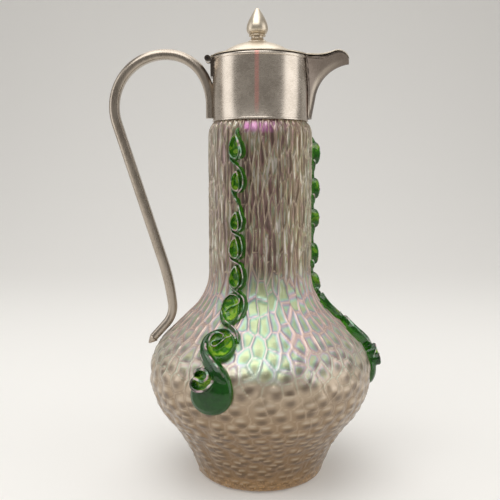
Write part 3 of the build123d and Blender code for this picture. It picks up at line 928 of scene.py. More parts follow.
        piece = add_mesh("bottle", places, faces, sharp=60)
        for name, plain in (("edge", 9.0), ("tint", 0.5), ("shade", 0.0)):
            values = np.full(len(places), plain)
            values[fine_start:inner_start] = cells[name][::-1].ravel()
            add_values(piece, name, values)
        return piece

    def fans(self, coarse_start: int, fine_start: int, coarse_above: bool) -> Faces:
        """Triangles between a coarse ring and a fine one: a fan at each coarse place and one between."""
        coarse = self.columns // self.fewer
        cell = np.arange(coarse)
        after = (cell + 1) % coarse
        half = self.fewer // 2
        middle = fine_start + cell * self.fewer + half
        faces = [np.stack([coarse_start + cell, coarse_start + after, middle], axis=1)]
        for step in range(self.fewer):
            corner = coarse_start + (cell if step < half else after)
            first = fine_start + cell * self.fewer + step
            second = fine_start + (cell * self.fewer + step + 1) % self.columns
            faces.append(np.stack([corner, second, first], axis=1))
        joined = np.vstack(faces)
        return (joined[:, ::-1] if coarse_above else joined).tolist()

    def under_base(self) -> np.ndarray:
        """Half section under the base from its middle: a shallow hollow and then the flat resting ring."""
        across = np.linspace(0, self.foot_ring_r, 9)
        hollow = np.stack([across, self.punt * (1 - (across / self.foot_ring_r) ** 2)], axis=1)
        return np.vstack([hollow, [[self.foot_ring_r + 3, 0]]])

    def inside(self) -> np.ndarray:
        """Half section inside, from the lip down to the middle of the floor, a wall's thickness in."""
        stations = np.concatenate([np.linspace(0, 18, 3), np.linspace(self.top - 8, self.side.length, 40)])
        flat, heading = self.side.at(stations)
        wall = flat + self.wall * np.stack([np.sin(heading), -np.cos(heading)], axis=1)
        wall = wall[wall[:, 1] > self.floor_z + 3]
        edge = float(wall[-1, 0])
        across = edge * np.sin(np.linspace(np.pi / 2, 0, 9))[1:]
        floor = np.stack([across, self.floor_z + 3 * (across / edge) ** 4], axis=1)
        return np.vstack([wall, floor])


@dataclass(frozen=True)
class Hollow:
    """Leaf-shaped dish of a trail: its middle, length, width, tallest rise and lean of its top, in mm."""

    station: float
    across: float
    long: float
    wide: float
    tall: float = 4.9
    lean: float = 0.0

    def knot(self, down: float, over: float, rise: float, off: float = 0.0) -> tuple[float, float, float]:
        """Knot at shares of the length and the width from the middle, and off in mm to the left."""
        return (self.station + down * self.long, self.across + over * self.wide + off, rise)


def lower(knots: list[tuple[float, ...]], by: float) -> list[tuple[float, ...]]:
    """Knots moved down the glass."""
    return [(station + by, *rest) for station, *rest in knots]


@dataclass
class Trail:
    """Green trail pinched into cups joined by ribbons, ending in a curl on a prunt. Sizes in mm."""

    name: str
    azimuth: float
    bottle: Bottle
    cups: tuple[Hollow, ...] = (
        Hollow(6.6, -0.1, 14.0, 6.6), Hollow(25.0, 0.5, 11.6, 5.6), Hollow(46.8, 0.1, 10.8, 5.4),
        Hollow(61.2, -0.3, 12.4, 6.4), Hollow(77.6, -0.2, 13.6, 6.8))
    sixth: float = 0.0
    seventh: float = 0.0
    tail: float = 0.0
    voxel: float = 0.36
    lip_half: float = 0.38
    lip_fade: float = 0.72
    glow_share: float = 0.65
    glow_under: float = 1.2
    lips: list[np.ndarray] = field(default_factory=list)

    def dish(self, hollow: Hollow, rings: list[tuple[float, float]], taper: float, crested: bool) -> Part:
        """Closed dish over a leaf-shaped outline.

        The outline is an ellipse whose width is cut by taper ((1 + cos a) / 2)^1.5 towards its upper point.
        A ring is the outline times a share, at a share of the hollow's rise. Where the dish is crested, the
        rise is largest at the sides and falls to half at both ends.

        Args:
            hollow: where the dish is, and its size.
            rings: from the foot outside to the middle of the floor, shares of the outline and of the rise.
            taper: how much narrower the upper end is.
            crested: whether the rim dips at both ends.
        Returns:
            Places and faces.
        """
        table = np.array(rings)
        turn = angles(48)
        upper = (1 + np.cos(turn)) / 2
        down = -np.cos(turn) * hollow.long / 2
        over = np.sin(turn) * hollow.wide / 2 * (1 - taper * upper**1.5)
        crest = 0.5 + 0.5 * np.abs(np.sin(turn)) ** 0.7 if crested else np.ones_like(turn)
        station = hollow.station + table[:, 0:1] * down
        across = hollow.across + table[:, 0:1] * (over + hollow.lean * upper)
        rises = table[:, 1:2] * hollow.tall
        lift = np.where(rises > 0.3 * hollow.tall, rises * crest, rises)
        places = self.bottle.on_glass(station, across, lift, self.azimuth).reshape(-1, 3)
        middle = np.full(2, hollow.across + table[-1, 0] * hollow.lean / 2)
        ends = self.bottle.on_glass(np.full(2, hollow.station), middle, rises[[0, -1], 0], self.azimuth)
        faces = grid_faces(len(rings), len(turn)).tolist()
        if crested:
            rim = int(np.argmax(table[:, 1]))
            self.lips.append(places.reshape(len(rings), len(turn), 3)[rim:rim + 2].mean(axis=0))
        return close_poles(places, faces, len(turn), *ends)

    def ribbon(self, knots: list[tuple[float, ...]], foot: float, top: float, count: int = 64,
               pale: float = 0.0) -> Part:
        """Blade of glass standing on edge along a line on the glass, with a lip along its thin round top.

        Args:
            knots: station, across and rise of the top at each turn of the line.
            foot: half width at the glass.
            top: half width near the top.
            count: places along the line.
            pale: how far the pale lip reaches to each side of the line.
        Returns:
            Places and faces.
        """
        half = [(foot, -0.25), (0.75 * foot, 0.25), (top, 0.66), (0.85 * top, 0.9)]
        line, rise, part = self.carry(knots, half, count)
        for shift in (-pale, 0.0, pale) if pale else (0.0,):
            self.add_pale_line(line, rise, shift)
        return part

    def add_pale_line(self, line: np.ndarray, rise: np.ndarray, shift: float | np.ndarray) -> None:
        """Notes a pale line beside a line on the glass, shifted square to it."""
        slope = unit_slope(line)
        station = line[:, 0] - slope[:, 1] * shift
        across = line[:, 1] + slope[:, 0] * shift
        self.lips.append(self.bottle.on_glass(station, across, rise, self.azimuth))

    def rope(self, knots: list[tuple[float, ...]], count: int = 130) -> Part:
        """Thick round cord with a painted highlight line along each side; each knot's fourth number is its
        half width.
        """
        half = [(1.12, -0.25), (1.02, 0.15), (0.94, 0.45), (0.74, 0.74), (0.42, 0.93)]
        line, rise, part = self.carry(knots, half, count)
        # Painted highlights: a pale line down each side of the rope
        for shift, first, last in ((-0.6, 0.1, 0.6), (0.5, 0.42, 0.86)):
            some = slice(int(first * count), int(last * count))
            self.add_pale_line(line[some], 0.87 * rise[some], shift * line[some, 3])
        return part

    def carry(self, knots: list[tuple[float, ...]], half: list[tuple[float, float]],
              count: int) -> tuple[np.ndarray, np.ndarray, Part]:
        """Carries a section along a line on the glass, square to the line and tapered at both ends.

        Args:
            knots: station, across, rise of the top and, where the width changes, a scale for it.
            half: right half of the section from its foot, as widths and as shares of the rise.
            count: places along the line.
        Returns:
            The line, its rises after the taper, and the closed part's places and faces.
        """
        line = rounded_line(knots, count)
        slope = unit_slope(line)
        side = np.array(half)
        section = np.vstack([side * [-1, 1], [[0, 1.0]], side[::-1]])
        share = np.linspace(0, 1, count)
        taper = np.sqrt(np.clip(np.minimum(share, 1 - share) / 0.08, 0.12, 1))
        swell = line[:, 3] if line.shape[1] > 3 else np.ones(count)
        wide = section[None, :, 0] * (taper * swell)[:, None]
        station = line[:, 0:1] - slope[:, 1:2] * wide
        across = line[:, 1:2] + slope[:, 0:1] * wide
        rise = line[:, 2] * (0.5 + 0.5 * taper)
        lift = section[None, :, 1] * rise[:, None]
        places = self.bottle.on_glass(station, across, lift, self.azimuth).reshape(-1, 3)
        faces = grid_faces(count, len(section)).tolist()
        station, across, tall = line[[0, -1], :3].T
        first, last = self.bottle.on_glass(station, across, tall * 0.3, self.azimuth)
        return line, rise, close_poles(places, faces, len(section), first, last)

    def hollows(self) -> list[Hollow]:
        """Where light gathers in the glass: the cups, the two loops and the curl."""
        return [*self.cups, Hollow(97.0 + self.sixth, 0.2, 19.0, 11.5, 4.6),
                Hollow(119.6 + self.seventh, 2.4, 17.5, 14.5, 4.6),
                Hollow(139.0 + self.tail, -0.2, 9.0, 10.0, 8.4)]

    def neck_parts(self) -> list[Part]:
        """The cups on the neck, and ribbons that leave one cup's foot and are the next one's right lip."""
        rim = [(0.98, -0.22), (1.05, 0.1), (1.04, 0.45), (0.99, 0.78), (0.93, 0.98), (0.84, 0.98),
               (0.77, 0.78), (0.68, 0.5), (0.5, 0.3), (0.26, 0.26)]
        parts = [self.dish(cup, rim, 0.5, True) for cup in self.cups]
        first = self.cups[0]
        start = [first.knot(-0.75, 0, 0.8, 0.6), first.knot(-0.5, 0, 2.6), first.knot(-0.2, 0.34, 4.2),
                 first.knot(0.2, 0.56, 4.4), first.knot(0.46, 0.3, 2.6)]
        parts.append(self.ribbon(start, 1.5, 0.5))
        for above, below in zip(self.cups[:-1], self.cups[1:]):
            leave = above.station + 0.36 * above.long
            tip = below.station - 0.5 * below.long
            parts.append(self.ribbon([
                (leave - 1.2, above.across - 0.5 * above.wide, 2.8),
                (leave + 2.0, above.across - 0.4 * above.wide, 3.0),
                (0.5 * (leave + tip) + 1.6, 0.5 * above.across + 0.12 * below.wide, 2.4),
                (tip + 0.5, below.across + 0.44 * below.wide, 3.0),
                below.knot(-0.08, 0.5, 4.6, 1.2), below.knot(0.3, 0.5, 4.2, 0.5),
                below.knot(0.54, 0.12, 2.4)], 1.35, 0.44))
        return parts

    def shoulder_parts(self) -> list[Part]:
        """Two broad loops on the shoulder: low dishes with lips over them in a bow, an S and a spiral."""
        dished = [(0.96, -0.3), (1.0, 0.25), (0.99, 0.62), (0.93, 0.96), (0.84, 1.0), (0.7, 0.7), (0.5, 0.48),
                  (0.25, 0.42)]
        last = self.cups[-1]
        six, seven = self.sixth, self.seventh
        arch = [(86.8, 2.2, 3.4), (90.0, 5.6, 3.8), (96.5, 6.9, 3.8), (102.5, 5.6, 3.0)]
        bow = [(98.2, -3.3, 3.8), (95.7, 0.1, 4.0), (93.2, 3.6, 4.2), (90.6, 3.8, 4.4), (88.3, 1.5, 4.6),
               (88.1, -1.6, 4.6), (91.1, -4.0, 4.8), (95.7, -4.8, 4.8), (100.6, -3.7, 4.6),
               (104.9, -0.6, 4.4)]
        bow_end = [(107.3, 3.1, 4.4), (109.6, 6.5, 4.4), (112.8, 8.8, 4.2), (116.7, 10.2, 3.4)]
        spiral = [(113.8, 5.8, 4.8), (116.2, 4.2, 5.0), (118.9, 2.7, 5.0), (121.5, 0.9, 5.0),
                  (122.0, -0.9, 5.0), (120.6, -2.3, 5.0), (118.8, -1.6, 5.0), (117.8, 1.1, 5.0),
                  (116.0, 2.6, 5.0), (114.1, 1.9, 5.0), (113.6, -1.1, 5.0), (115.3, -3.5, 5.0),
                  (118.3, -4.2, 4.8), (121.0, -3.6, 4.4)]
        top = [last.knot(0.3, -0.52, 2.8), last.knot(0.48, -0.25, 3.0)]
        return [
            self.dish(Hollow(97.0 + six, 0.6, 21.0, 13.0, 3.3, -2.0), dished, 0.35, False),
            self.dish(Hollow(119.6 + seven, 3.6, 18.5, 16.0, 3.4, -2.5), dished, 0.1, False),
            self.ribbon(top + lower(arch, six), 1.9, 0.46),
            self.ribbon(lower(bow, six) + lower(bow_end, seven), 1.4, 0.44, 150),
            self.ribbon(lower(spiral, seven), 0.9, 0.42, 150),
        ]

    def end_parts(self) -> list[Part]:
        """Thick S-shaped rope that widens into a teardrop prunt, and the curl that lies rolled up on it."""
        dome = [(0.96, -0.16), (1.0, 0.15), (0.97, 0.4), (0.88, 0.66), (0.7, 0.88), (0.4, 1.0)]
        rope = [(112.3, 5.5, 4.6, 0.7), (111.2, 1.9, 5.2, 1.0), (113.2, -2.9, 5.4, 1.4),
                (117.6, -6.2, 5.6, 2.1), (123.1, -6.0, 5.8, 2.9), (127.5, -3.2, 6.0, 3.4),
                (131.6, 1.6, 6.2, 3.8), (135.2, 6.1, 6.6, 3.9), (138.6, 9.2, 5.2, 3.2),
                (143.0, 10.8, 2.2, 1.8)]
        shifts = np.linspace(self.seventh, self.tail, len(rope))
        curl = [(139.0, -6.2, 6.4), (136.0, -4.9, 7.4), (134.6, -1.8, 8.0), (135.2, 1.5, 8.2),
                (137.1, 2.9, 8.2), (138.6, 2.0, 8.2), (139.4, 0.1, 8.2), (139.0, -2.1, 8.2),
                (138.8, -4.2, 8.0), (140.5, -5.7, 8.0), (142.6, -4.9, 8.0), (143.6, -1.8, 8.0),
                (142.8, 1.6, 7.8), (140.7, 3.9, 7.4), (138.2, 4.8, 6.6)]
        return [self.dish(Hollow(143.2 + self.tail, 1.6, 26.4, 26.6, 5.2, 2.8), dome, 0.4, False),
                self.rope([lower([knot], by)[0] for knot, by in zip(rope, shifts)]),
                self.ribbon(lower(curl, self.tail), 1.6, 0.9, 180, 0.35)]

    def build(self) -> bpy.types.Object:
        """Fuses the parts into one skin of glass by remeshing, and marks the lips that catch the fume and the
        rope's painted highlights.
        """
        places, faces = join_parts(self.neck_parts() + self.shoulder_parts() + self.end_parts())
        piece = add_mesh(self.name, places, faces)
        fuse = piece.modifiers.new("fuse", "REMESH")
        fuse.mode = "VOXEL"
        fuse.voxel_size = self.voxel * MM
        melt = piece.modifiers.new("melt", "SMOOTH")
        melt.factor = 0.5
        melt.iterations = 2
        bake(piece)
        smooth_faces(piece.data)
        spots = vertex_places(piece)
        stand, glow = self.marks(spots)
        add_values(piece, "stand", stand)
        add_values(piece, "glow", glow)
        add_values(piece, "lip", smooth_step(self.lip_fade, self.lip_half, self.lip_distance(spots)))
        return piece

    def lip_distance(self, spots: np.ndarray) -> np.ndarray:
        """Distance in mm from each place to the nearest point of the lips' lines and the rope's painted
        highlight lines.
        """
        lips = np.vstack(self.lips)
        nearest = np.empty(len(spots))
        for part in np.array_split(np.arange(len(spots)), 1 + len(spots) // LIP_BATCH):
            squares = (spots[part] ** 2).sum(axis=1)[:, None] + (lips**2).sum(axis=1)[None, :]
            nearest[part] = (squares - 2 * spots[part] @ lips.T).min(axis=1)
        return np.sqrt(np.maximum(nearest, 0))

    def marks(self, spots: np.ndarray) -> tuple[np.ndarray, np.ndarray]:
        """How far each place stands out of the bottle in mm, and how much it glows, being inside a hollow.

        A place belongs to the nearest place of the bottle's side. It is inside a hollow where the ellipse
        distance from the hollow's middle, on the glass, is under 1.
        """
        radius = np.hypot(spots[:, 0], spots[:, 1])
        stations = np.linspace(self.bottle.top - 8, self.bottle.side.length, 400)
        side, heading = self.bottle.side.at(stations)
        nearest = np.empty(len(spots), int)
        for part in np.array_split(np.arange(len(spots)), 1 + len(spots) // SIDE_BATCH):
            out = radius[part, None] - side[None, :, 0]
            up = spots[part, 2, None] - side[None, :, 1]
            nearest[part] = np.argmin(out**2 + up**2, axis=1)
        out = radius - side[nearest, 0]
        up = spots[:, 2] - side[nearest, 1]
        stand = np.cos(heading[nearest]) * up - np.sin(heading[nearest]) * out
        station = stations[nearest] - self.bottle.top
        turn = np.arctan2(spots[:, 1], spots[:, 0]) - math.radians(self.azimuth)
        across = ((turn + np.pi) % (2 * np.pi) - np.pi) * side[nearest, 0]
        glow = np.zeros(len(spots))
        for hollow in self.hollows():
            down = (station - hollow.station) / (hollow.long / 2)
            over = (across - hollow.across) / (hollow.wide / 2)
            sunk = smooth_step(hollow.tall, hollow.tall - self.glow_under, stand)
            glow = np.maximum(glow, smooth_step(1.0, self.glow_share, np.hypot(down, over)) * sunk)
        return stand, glow


# Mount


@dataclass
class Collar:
    """Plated band on the neck with rolled edges and a window into the spout. Sizes in mm."""

    radius: float = 27.2
    wall: float = 1.0
    foot_z: float = 206.5
    rim_z: float = 241.9
    bead: float = 0.45
    window_z: float = 229.0
    window_half: float = 6.5
    window_slope: float = 0.3

    def build(self) -> bpy.types.Object:
        """A closed lathe of the band's section, with the window cut by a tapered prism."""
        rise = self.rim_z - self.foot_z
        outer = [(0.0, 0.1), (0.14, 0.0), (0.18, 0.4), (0.1, 0.8), (0.0, 1.0), (0.0, rise - 1.7),
                 (0.7 * self.bead, rise - 1.5), (self.bead, rise - 1.0), (self.bead, rise - 0.5),
                 (0.6 * self.bead, rise - 0.1), (0.0, rise)]
        inner = [(-self.wall, rise - 0.2), (-self.wall, rise / 2), (-self.wall, 0.0)]
        section = np.array([(self.radius + out, self.foot_z + up) for out, up in outer + inner])
        following = np.roll(section, -1, 0)
        dense = np.vstack([np.linspace(a, b, 3, endpoint=False) for a, b in zip(section, following)])
        piece = add_mesh("collar", *lathe(dense, 192), sharp=40)
        near, far = self.radius - 8, self.radius + 4
        corners = []
        for z in (self.window_z, self.rim_z + 4):
            half = self.window_half + self.window_slope * (z - self.window_z)
            corners += [(near, -half, z), (far, -half, z), (far, half, z), (near, half, z)]
        sides = [[0, 1, 2, 3], [4, 5, 6, 7], [0, 1, 5, 4], [1, 2, 6, 5], [2, 3, 7, 6], [3, 0, 4, 7]]
        cutter = add_mesh("collar_window", np.array(corners), sides)
        fresh = cutter.data
        bpy.context.view_layer.update()
        cut = piece.modifiers.new("window", "BOOLEAN")
        cut.operation = "DIFFERENCE"
        cut.solver = "EXACT"
        cut.object = cutter
        bake(piece)
        bpy.data.objects.remove(cutter)
        bpy.data.meshes.remove(fresh)
        return piece


@dataclass
class Spout:
    """V-shaped spout whose keel sweeps up and out, soldered to the collar. Sizes in mm."""

    collar: Collar
    reach: float = 22.9
    tip_drop: float = 2.3
    foot: tuple[float, float] = (28.4, 208.0)
    knee: tuple[float, float] = (30.8, 221.0)
    nose_r: float = 1.5
    keel_r: float = 5.6
    bead: float = 0.32
    bead_below: float = 0.65
    bead_half: float = 0.35
    keel_highlight_wide: float = 1.2
    root_half: float = 41.0
    tip_half: float = 21.0
    rise_r: float = 34.3
    rise_turn: float = 23.7
    fall_r: float = 6.0
    fall_turn: float = 103.0
    wall: float = 0.9
    sunk: float = 0.3
    longest_arm: float = 40.0
    arm_step: float = 0.025

    @property
    def tip_x(self) -> float:
        """How far the tip is from the jug's axis."""
        return self.collar.radius + self.reach

    @property
    def brow_x(self) -> float:
        """Where the level rim starts to rise."""
        rise = (self.rise_r + self.fall_r) * math.sin(math.radians(self.rise_turn))
        return self.tip_x - rise - self.fall_r * math.sin(math.radians(self.fall_turn - self.rise_turn))

    def brow(self, lift: float) -> Route:
        """Side view of the upper edge, raised by a lift: level, then up, then down to the tip."""
        rise = arc(self.rise_r - lift, self.rise_turn)
        fall = arc(self.fall_r + lift, -self.fall_turn)
        return Route((0, self.collar.rim_z + lift), 0, (Leg(self.brow_x), rise, fall))

    def brow_height(self, across: np.ndarray, lift: float = 0.0) -> np.ndarray:
        """Height of the upper edge over places along X; past the tip it falls steeply."""
        route = self.brow(lift)
        places, _ = route.at(np.linspace(0, route.length, 600))
        past = np.array([[places[-1, 0] + 2, places[-1, 1] - 10]])
        line = np.vstack([places, past])
        return np.interp(across, line[:, 0], line[:, 1])

    def build(self) -> bpy.types.Object:
        """Skin of V sections square to the keel, each out to the collar or up to the brow, then thickened.

        A section is a nose arc about a centre inside the keel, then a straight arm tangent to it. The arm's
        length is the first at which it would be sunk in the collar or pass the brow. A bead swells just below
        the brow. The attribute worn is a painted highlight: 1 beside the nose, falling off as
        exp(-(d / keel_highlight_wide)^2) from there and towards the tip.
        """
        run = (self.knee[0] - self.foot[0], self.knee[1] - self.foot[1])
        heading = math.degrees(math.atan2(run[1], run[0]))
        first = Leg(math.hypot(*run))
        tip = (self.tip_x, self.collar.rim_z - self.tip_drop)
        keel = Route(self.foot, heading, (first, arc_to(self.knee, heading, tip)))
        stations = np.linspace(0, keel.length, 72)
        flat, turn = keel.at(stations)
        inward = upright(-np.sin(turn), np.cos(turn))
        beyond = np.clip((stations - first.length) / (keel.length - first.length), 0, 1)
        nose_r = (self.keel_r + (self.nose_r - self.keel_r) * beyond)[:, None]
        centre = upright(*flat.T) + nose_r * inward
        half = np.radians(self.root_half + (self.tip_half - self.root_half) * beyond)[:, None]
        aside = np.array([[0.0, 1.0, 0.0]])
        arm = inward * np.cos(half) + aside * np.sin(half)
        start = centre + nose_r * (-inward * np.sin(half) + aside * np.cos(half))
        reach = np.linspace(0, self.longest_arm, 1 + round(self.longest_arm / self.arm_step))
        along = start[:, None, :] + reach[None, :, None] * arm[:, None, :]
        outside = np.hypot(along[..., 0], along[..., 1]) > self.collar.radius - self.sunk
        below = along[..., 2] < self.brow_height(along[..., 0])
        longest = reach[np.argmin(outside & below, axis=1)]
        share = 1 - np.linspace(1, 0, 21)[1:] ** 2
        straight = start[:, None, :] + (longest[:, None] * share)[..., None] * arm[:, None, :]
        outward = aside * np.cos(half) - inward * np.sin(half)
        from_edge = longest[:, None] * (1 - share)
        even = np.minimum(longest / 4, 1) * smooth_step(0.98, 0.85, beyond)
        swell = self.bead * even[:, None] * np.exp(-((from_edge - self.bead_below) / self.bead_half) ** 2)
        straight += swell[..., None] * outward[:, None, :]
        swing = np.linspace(0, 1, 7)[None, :, None] * (np.pi / 2 - half)[..., None]
        spoke = -inward[:, None, :] * np.cos(swing) + aside * np.sin(swing)
        nose = centre[:, None, :] + nose_r[:, :, None] * spoke
        one_side = np.concatenate([nose, straight], axis=1)
        mirrored = one_side[:, :0:-1] * np.array([1, -1, 1])
        rows = np.concatenate([mirrored, one_side], axis=1)
        faces = grid_faces(rows.shape[0], rows.shape[1], ring=False)[:, ::-1].tolist()
        piece = add_mesh("spout_sheet", rows.reshape(-1, 3), faces, sharp=50)
        # Painted highlight beside the nose, kept in the attribute worn
        off_nose = np.hstack([np.linspace(-2, 0, 7) * np.ones((len(rows), 1)), longest[:, None] * share])
        worn = np.exp(-((off_nose - 0.5) / self.keel_highlight_wide) ** 2) * smooth_step(1.0, 0.45, beyond)[:, None]
        add_values(piece, "worn", np.hstack([worn[:, :0:-1], worn]).ravel())
        thick = piece.modifiers.new("wall", "SOLIDIFY")
        thick.thickness = self.wall * MM
        thick.offset = -1
        bake(piece)
        return piece


@dataclass
class Handle:
    """Rod that rises from the collar, arches over and comes down to the shoulder. Sizes in mm."""

    root: tuple[float, float] = (-28.4, 208.5)
    radius: float = 3.25
    flat: float = 2.7
    squeeze: float = 1.6
    squeezed: float = 0.95
    tail_share: float = 0.84
    clear: float = 0.9
    crest_r: float = 28.0
    belly_r: float = 64.1
    belly_z: float = 62.0
    root_run: float = 7.5
    tail_run: float = 10.6
    upper: tuple[tuple[float, float], ...] = ((32.9, 29.6), (23.3, 51.7), (29.6, 116.3))
    lower: tuple[tuple[float, float], ...] = ((131.7, -11.5), (15.6, -48.2))
    tip_long: float = 5.3
    tip_r: float = 2.8
    tip_end_r: float = 0.7

    def route(self) -> Route:
        """Middle line of the rod, with a shank as long as brings the tail to its clearance from the glass."""
        upper = [Leg(self.root_run)] + [arc(*bend) for bend in self.upper]
        lower = [arc(*bend) for bend in self.lower]
        _, shank = Route(self.root, 90, tuple(upper)).end()
        place, tail = Route(self.root, 90, tuple(upper + lower)).end()
        away = (math.sin(math.radians(tail)), -math.cos(math.radians(tail)))
        off = away[0] * (place[0] + self.belly_r - self.crest_r) + away[1] * (place[1] - self.belly_z)
        closing = away[0] * math.cos(math.radians(shank)) + away[1] * math.sin(math.radians(shank))
        run = (self.crest_r + self.clear + self.radius - off) / closing
        return Route(self.root, 90, tuple(upper + [Leg(run)] + lower + [Leg(self.tail_run)]))

    def build(self) -> bpy.types.Object:
        """Sweeps a rounded D section along the route, with its flat towards the bottle in the grip.

        The flat is at flat tanh(squeeze v / flat) / squeezed for the circle's v.
        """
        route = self.route()
        stations = np.linspace(0, route.length, 260)
        flat, heading = route.at(stations)
        centres = upright(*flat.T)
        sides = np.tile([0.0, 1.0, 0.0], (len(centres), 1))
        inward = upright(-np.sin(heading), np.cos(heading))
        turn = angles(36)
        section = self.radius * np.stack([np.cos(turn), np.sin(turn)], axis=1)
        flattened = self.flat * np.tanh(section[:, 1] / self.flat * self.squeeze) / self.squeezed
        section[:, 1] = np.where(section[:, 1] > 0, flattened, section[:, 1])
        scale = 1 - (1 - self.tail_share) * smooth_step(0.8, 1.0, stations / route.length)
        places, faces = sweep(centres, sides, inward, section, scale)
        return add_mesh("handle", places, faces, sharp=50)

    def build_tip(self) -> bpy.types.Object:
        """Turned cone with a groove behind it, on the tail's line."""
        (x, z), heading = self.route().end()
        profile = np.array([[0, -3.0], [1.1, -3.0], [1.15, -0.1], [1.9, 0.0], [1.95, 0.55], [2.6, 0.62],
                            [self.tip_r, 0.9], [2.5, 1.5], [1.85, 2.8], [1.2, 4.0], [self.tip_end_r, 4.9],
                            [0.4, self.tip_long], [0, self.tip_long]])
        places, faces = lathe(profile, 40)
        turn = math.radians(heading)
        ahead = np.array([math.cos(turn), 0, math.sin(turn)])
        aside = np.array([-math.sin(turn), 0, math.cos(turn)])
        axes = np.stack([aside, np.array([0.0, 1.0, 0.0]), ahead])
        return add_mesh("handle_tip_cone", places @ axes + np.array([x, 0, z]), faces, sharp=28)


# Lid


@dataclass
class Lid:
    """Hinged cover: a sheet over the rim and spout, a raised dome and a turned finial. Sizes in mm."""

    spout: Spout
    gap: float = 0.5
    plate: float = 0.75
    over: float = 0.5
    tip_over: float = 0.4
    root_half: float = 11.6
    dome_x: float = -1.8
    dome_r: float = 21.0
    dome_step: float = 0.8
    dome_rise: float = 7.3
    dome_wall: float = 1.0
    even_share: float = 0.35
    rim_share: float = 0.035

    @property
    def plate_z(self) -> float:
        """Underside of the sheet over the rim."""
        return self.spout.collar.rim_z + self.gap

    def edge(self, turn: np.ndarray) -> np.ndarray:
        """Distance from the dome's axis to the sheet's edge in each direction.

        It is the farther of the circle over the collar and the tapering tongue over the spout.
        """
        radius = self.spout.collar.radius + self.over
        cosine = np.cos(turn)
        ring = -self.dome_x * cosine + np.sqrt(radius**2 - (self.dome_x * np.sin(turn)) ** 2)
        tip = self.spout.tip_x + self.tip_over
        tip_half = self.spout.nose_r + self.tip_over
        bend = np.linspace(0, np.pi / 2, 9)
        bend = bend[::-1]
        nose = np.stack([tip - tip_half + tip_half * np.sin(bend), tip_half * np.cos(bend)], axis=1)
        root = (self.spout.brow_x, self.root_half)
        half = np.vstack([nose, np.linspace(nose[-1], root, 30)[1:],
                          np.linspace(root, (8, self.root_half), 20)[1:]])
        angle = np.arctan2(half[:, 1], half[:, 0] - self.dome_x)
        far = np.hypot(half[:, 1], half[:, 0] - self.dome_x)
        tongue = np.interp(np.abs((turn + np.pi) % (2 * np.pi) - np.pi), angle, far, right=0)
        return np.maximum(ring, tongue)

    def build_plate(self) -> bpy.types.Object:
        """Sheet between the dome's foot and the edge, bent to the brow's height, with a rounded rim.

        Its columns are closer over the spout: at pi (k s + (1 - k) s^3) for s from -1 to 1 and even_share k.
        """
        spread = np.linspace(-1, 1, 320, endpoint=False)
        turn = np.pi * (self.even_share * spread + (1 - self.even_share) * spread**3)
        share = 1 - (1 - np.linspace(0, 1, 34)) ** 1.6
        inner = self.dome_r - self.dome_wall - 0.4
        far = inner + share[:, None] * (self.edge(turn) - inner)[None, :]
        x = self.dome_x + far * np.cos(turn)
        y = far * np.sin(turn)
        low = self.spout.brow_height(x, self.gap)
        high = self.spout.brow_height(x, self.gap + self.plate)
        middle = 0.5 * (low + high)
        out = ((share - 1 + self.rim_share) / self.rim_share).clip(0, 1)
        rounding = np.sqrt(np.clip(1 - out**2, 0.05, 1))[:, None]
        top = middle + (high - middle) * rounding
        under = middle - (middle - low) * rounding
        shell = np.concatenate([np.stack([x, y, top], axis=-1), np.stack([x, y, under], axis=-1)[::-1]])
        faces = grid_faces(shell.shape[0], shell.shape[1], loop=True).tolist()
        return add_mesh("lid_plate", shell.reshape(-1, 3), faces, sharp=50)

    def build_dome(self) -> bpy.types.Object:
        """Hollow dome: a small upright step and an arc to the crown, closed round its rim and underneath."""
        foot_z = self.plate_z + 0.02
        seat_z = self.plate_z + self.plate + self.dome_step
        sphere = (self.dome_r**2 + self.dome_rise**2) / (2 * self.dome_rise)
        swing = np.linspace(math.asin(self.dome_r / sphere), 0, 30)
        drop = sphere - self.dome_rise
        outer = np.stack([sphere * np.sin(swing), seat_z - drop + sphere * np.cos(swing)], axis=1)
        inner = outer - self.dome_wall * np.stack([smooth_step(0, 6, outer[:, 0]), np.ones(30)], axis=1)
        top_z = self.plate_z + self.plate
        skirt = [(self.dome_r + 0.02, seat_z - 0.2), (self.dome_r + 0.02, top_z + 0.25),
                 (self.dome_r + 0.3, top_z - 0.1), (self.dome_r - self.dome_wall, foot_z)]
        profile = np.vstack([outer[::-1], skirt, inner])
        places, faces = lathe(profile, 128)
        return add_mesh("lid_dome", places + np.array([self.dome_x, 0, 0]), faces, sharp=40)

    def build_finial(self) -> bpy.types.Object:
        """Turned base and pointed bud in one lathe, with the stud that goes down through the dome."""
        seat_z = self.plate_z + self.plate + self.dome_step
        top_z = seat_z + self.dome_rise
        base = [(1.4, -6.0), (1.4, -1.6), (6.05, -0.8), (5.9, -0.3), (5.2, 0.25), (4.3, 0.9), (3.7, 1.6),
                (3.5, 2.3), (3.5, 2.9), (3.8, 3.05), (4.7, 3.1), (4.85, 3.4), (4.7, 3.7), (4.2, 3.8)]
        bud = rounded_line([(4.2, 3.85), (5.2, 4.7), (5.85, 5.8), (6.08, 7.2), (5.85, 9.0), (5.0, 11.4),
                            (3.7, 13.9), (2.2, 16.4), (1.0, 18.1), (0.3, 18.6)], 44)
        profile = np.vstack([[(0, -6.0)], base, bud, [(0, 18.7)]])
        places, faces = lathe(profile + np.array([0, top_z]), 96)
        return add_mesh("finial", places + np.array([self.dome_x, 0, 0]), faces, sharp=35)


# Studio


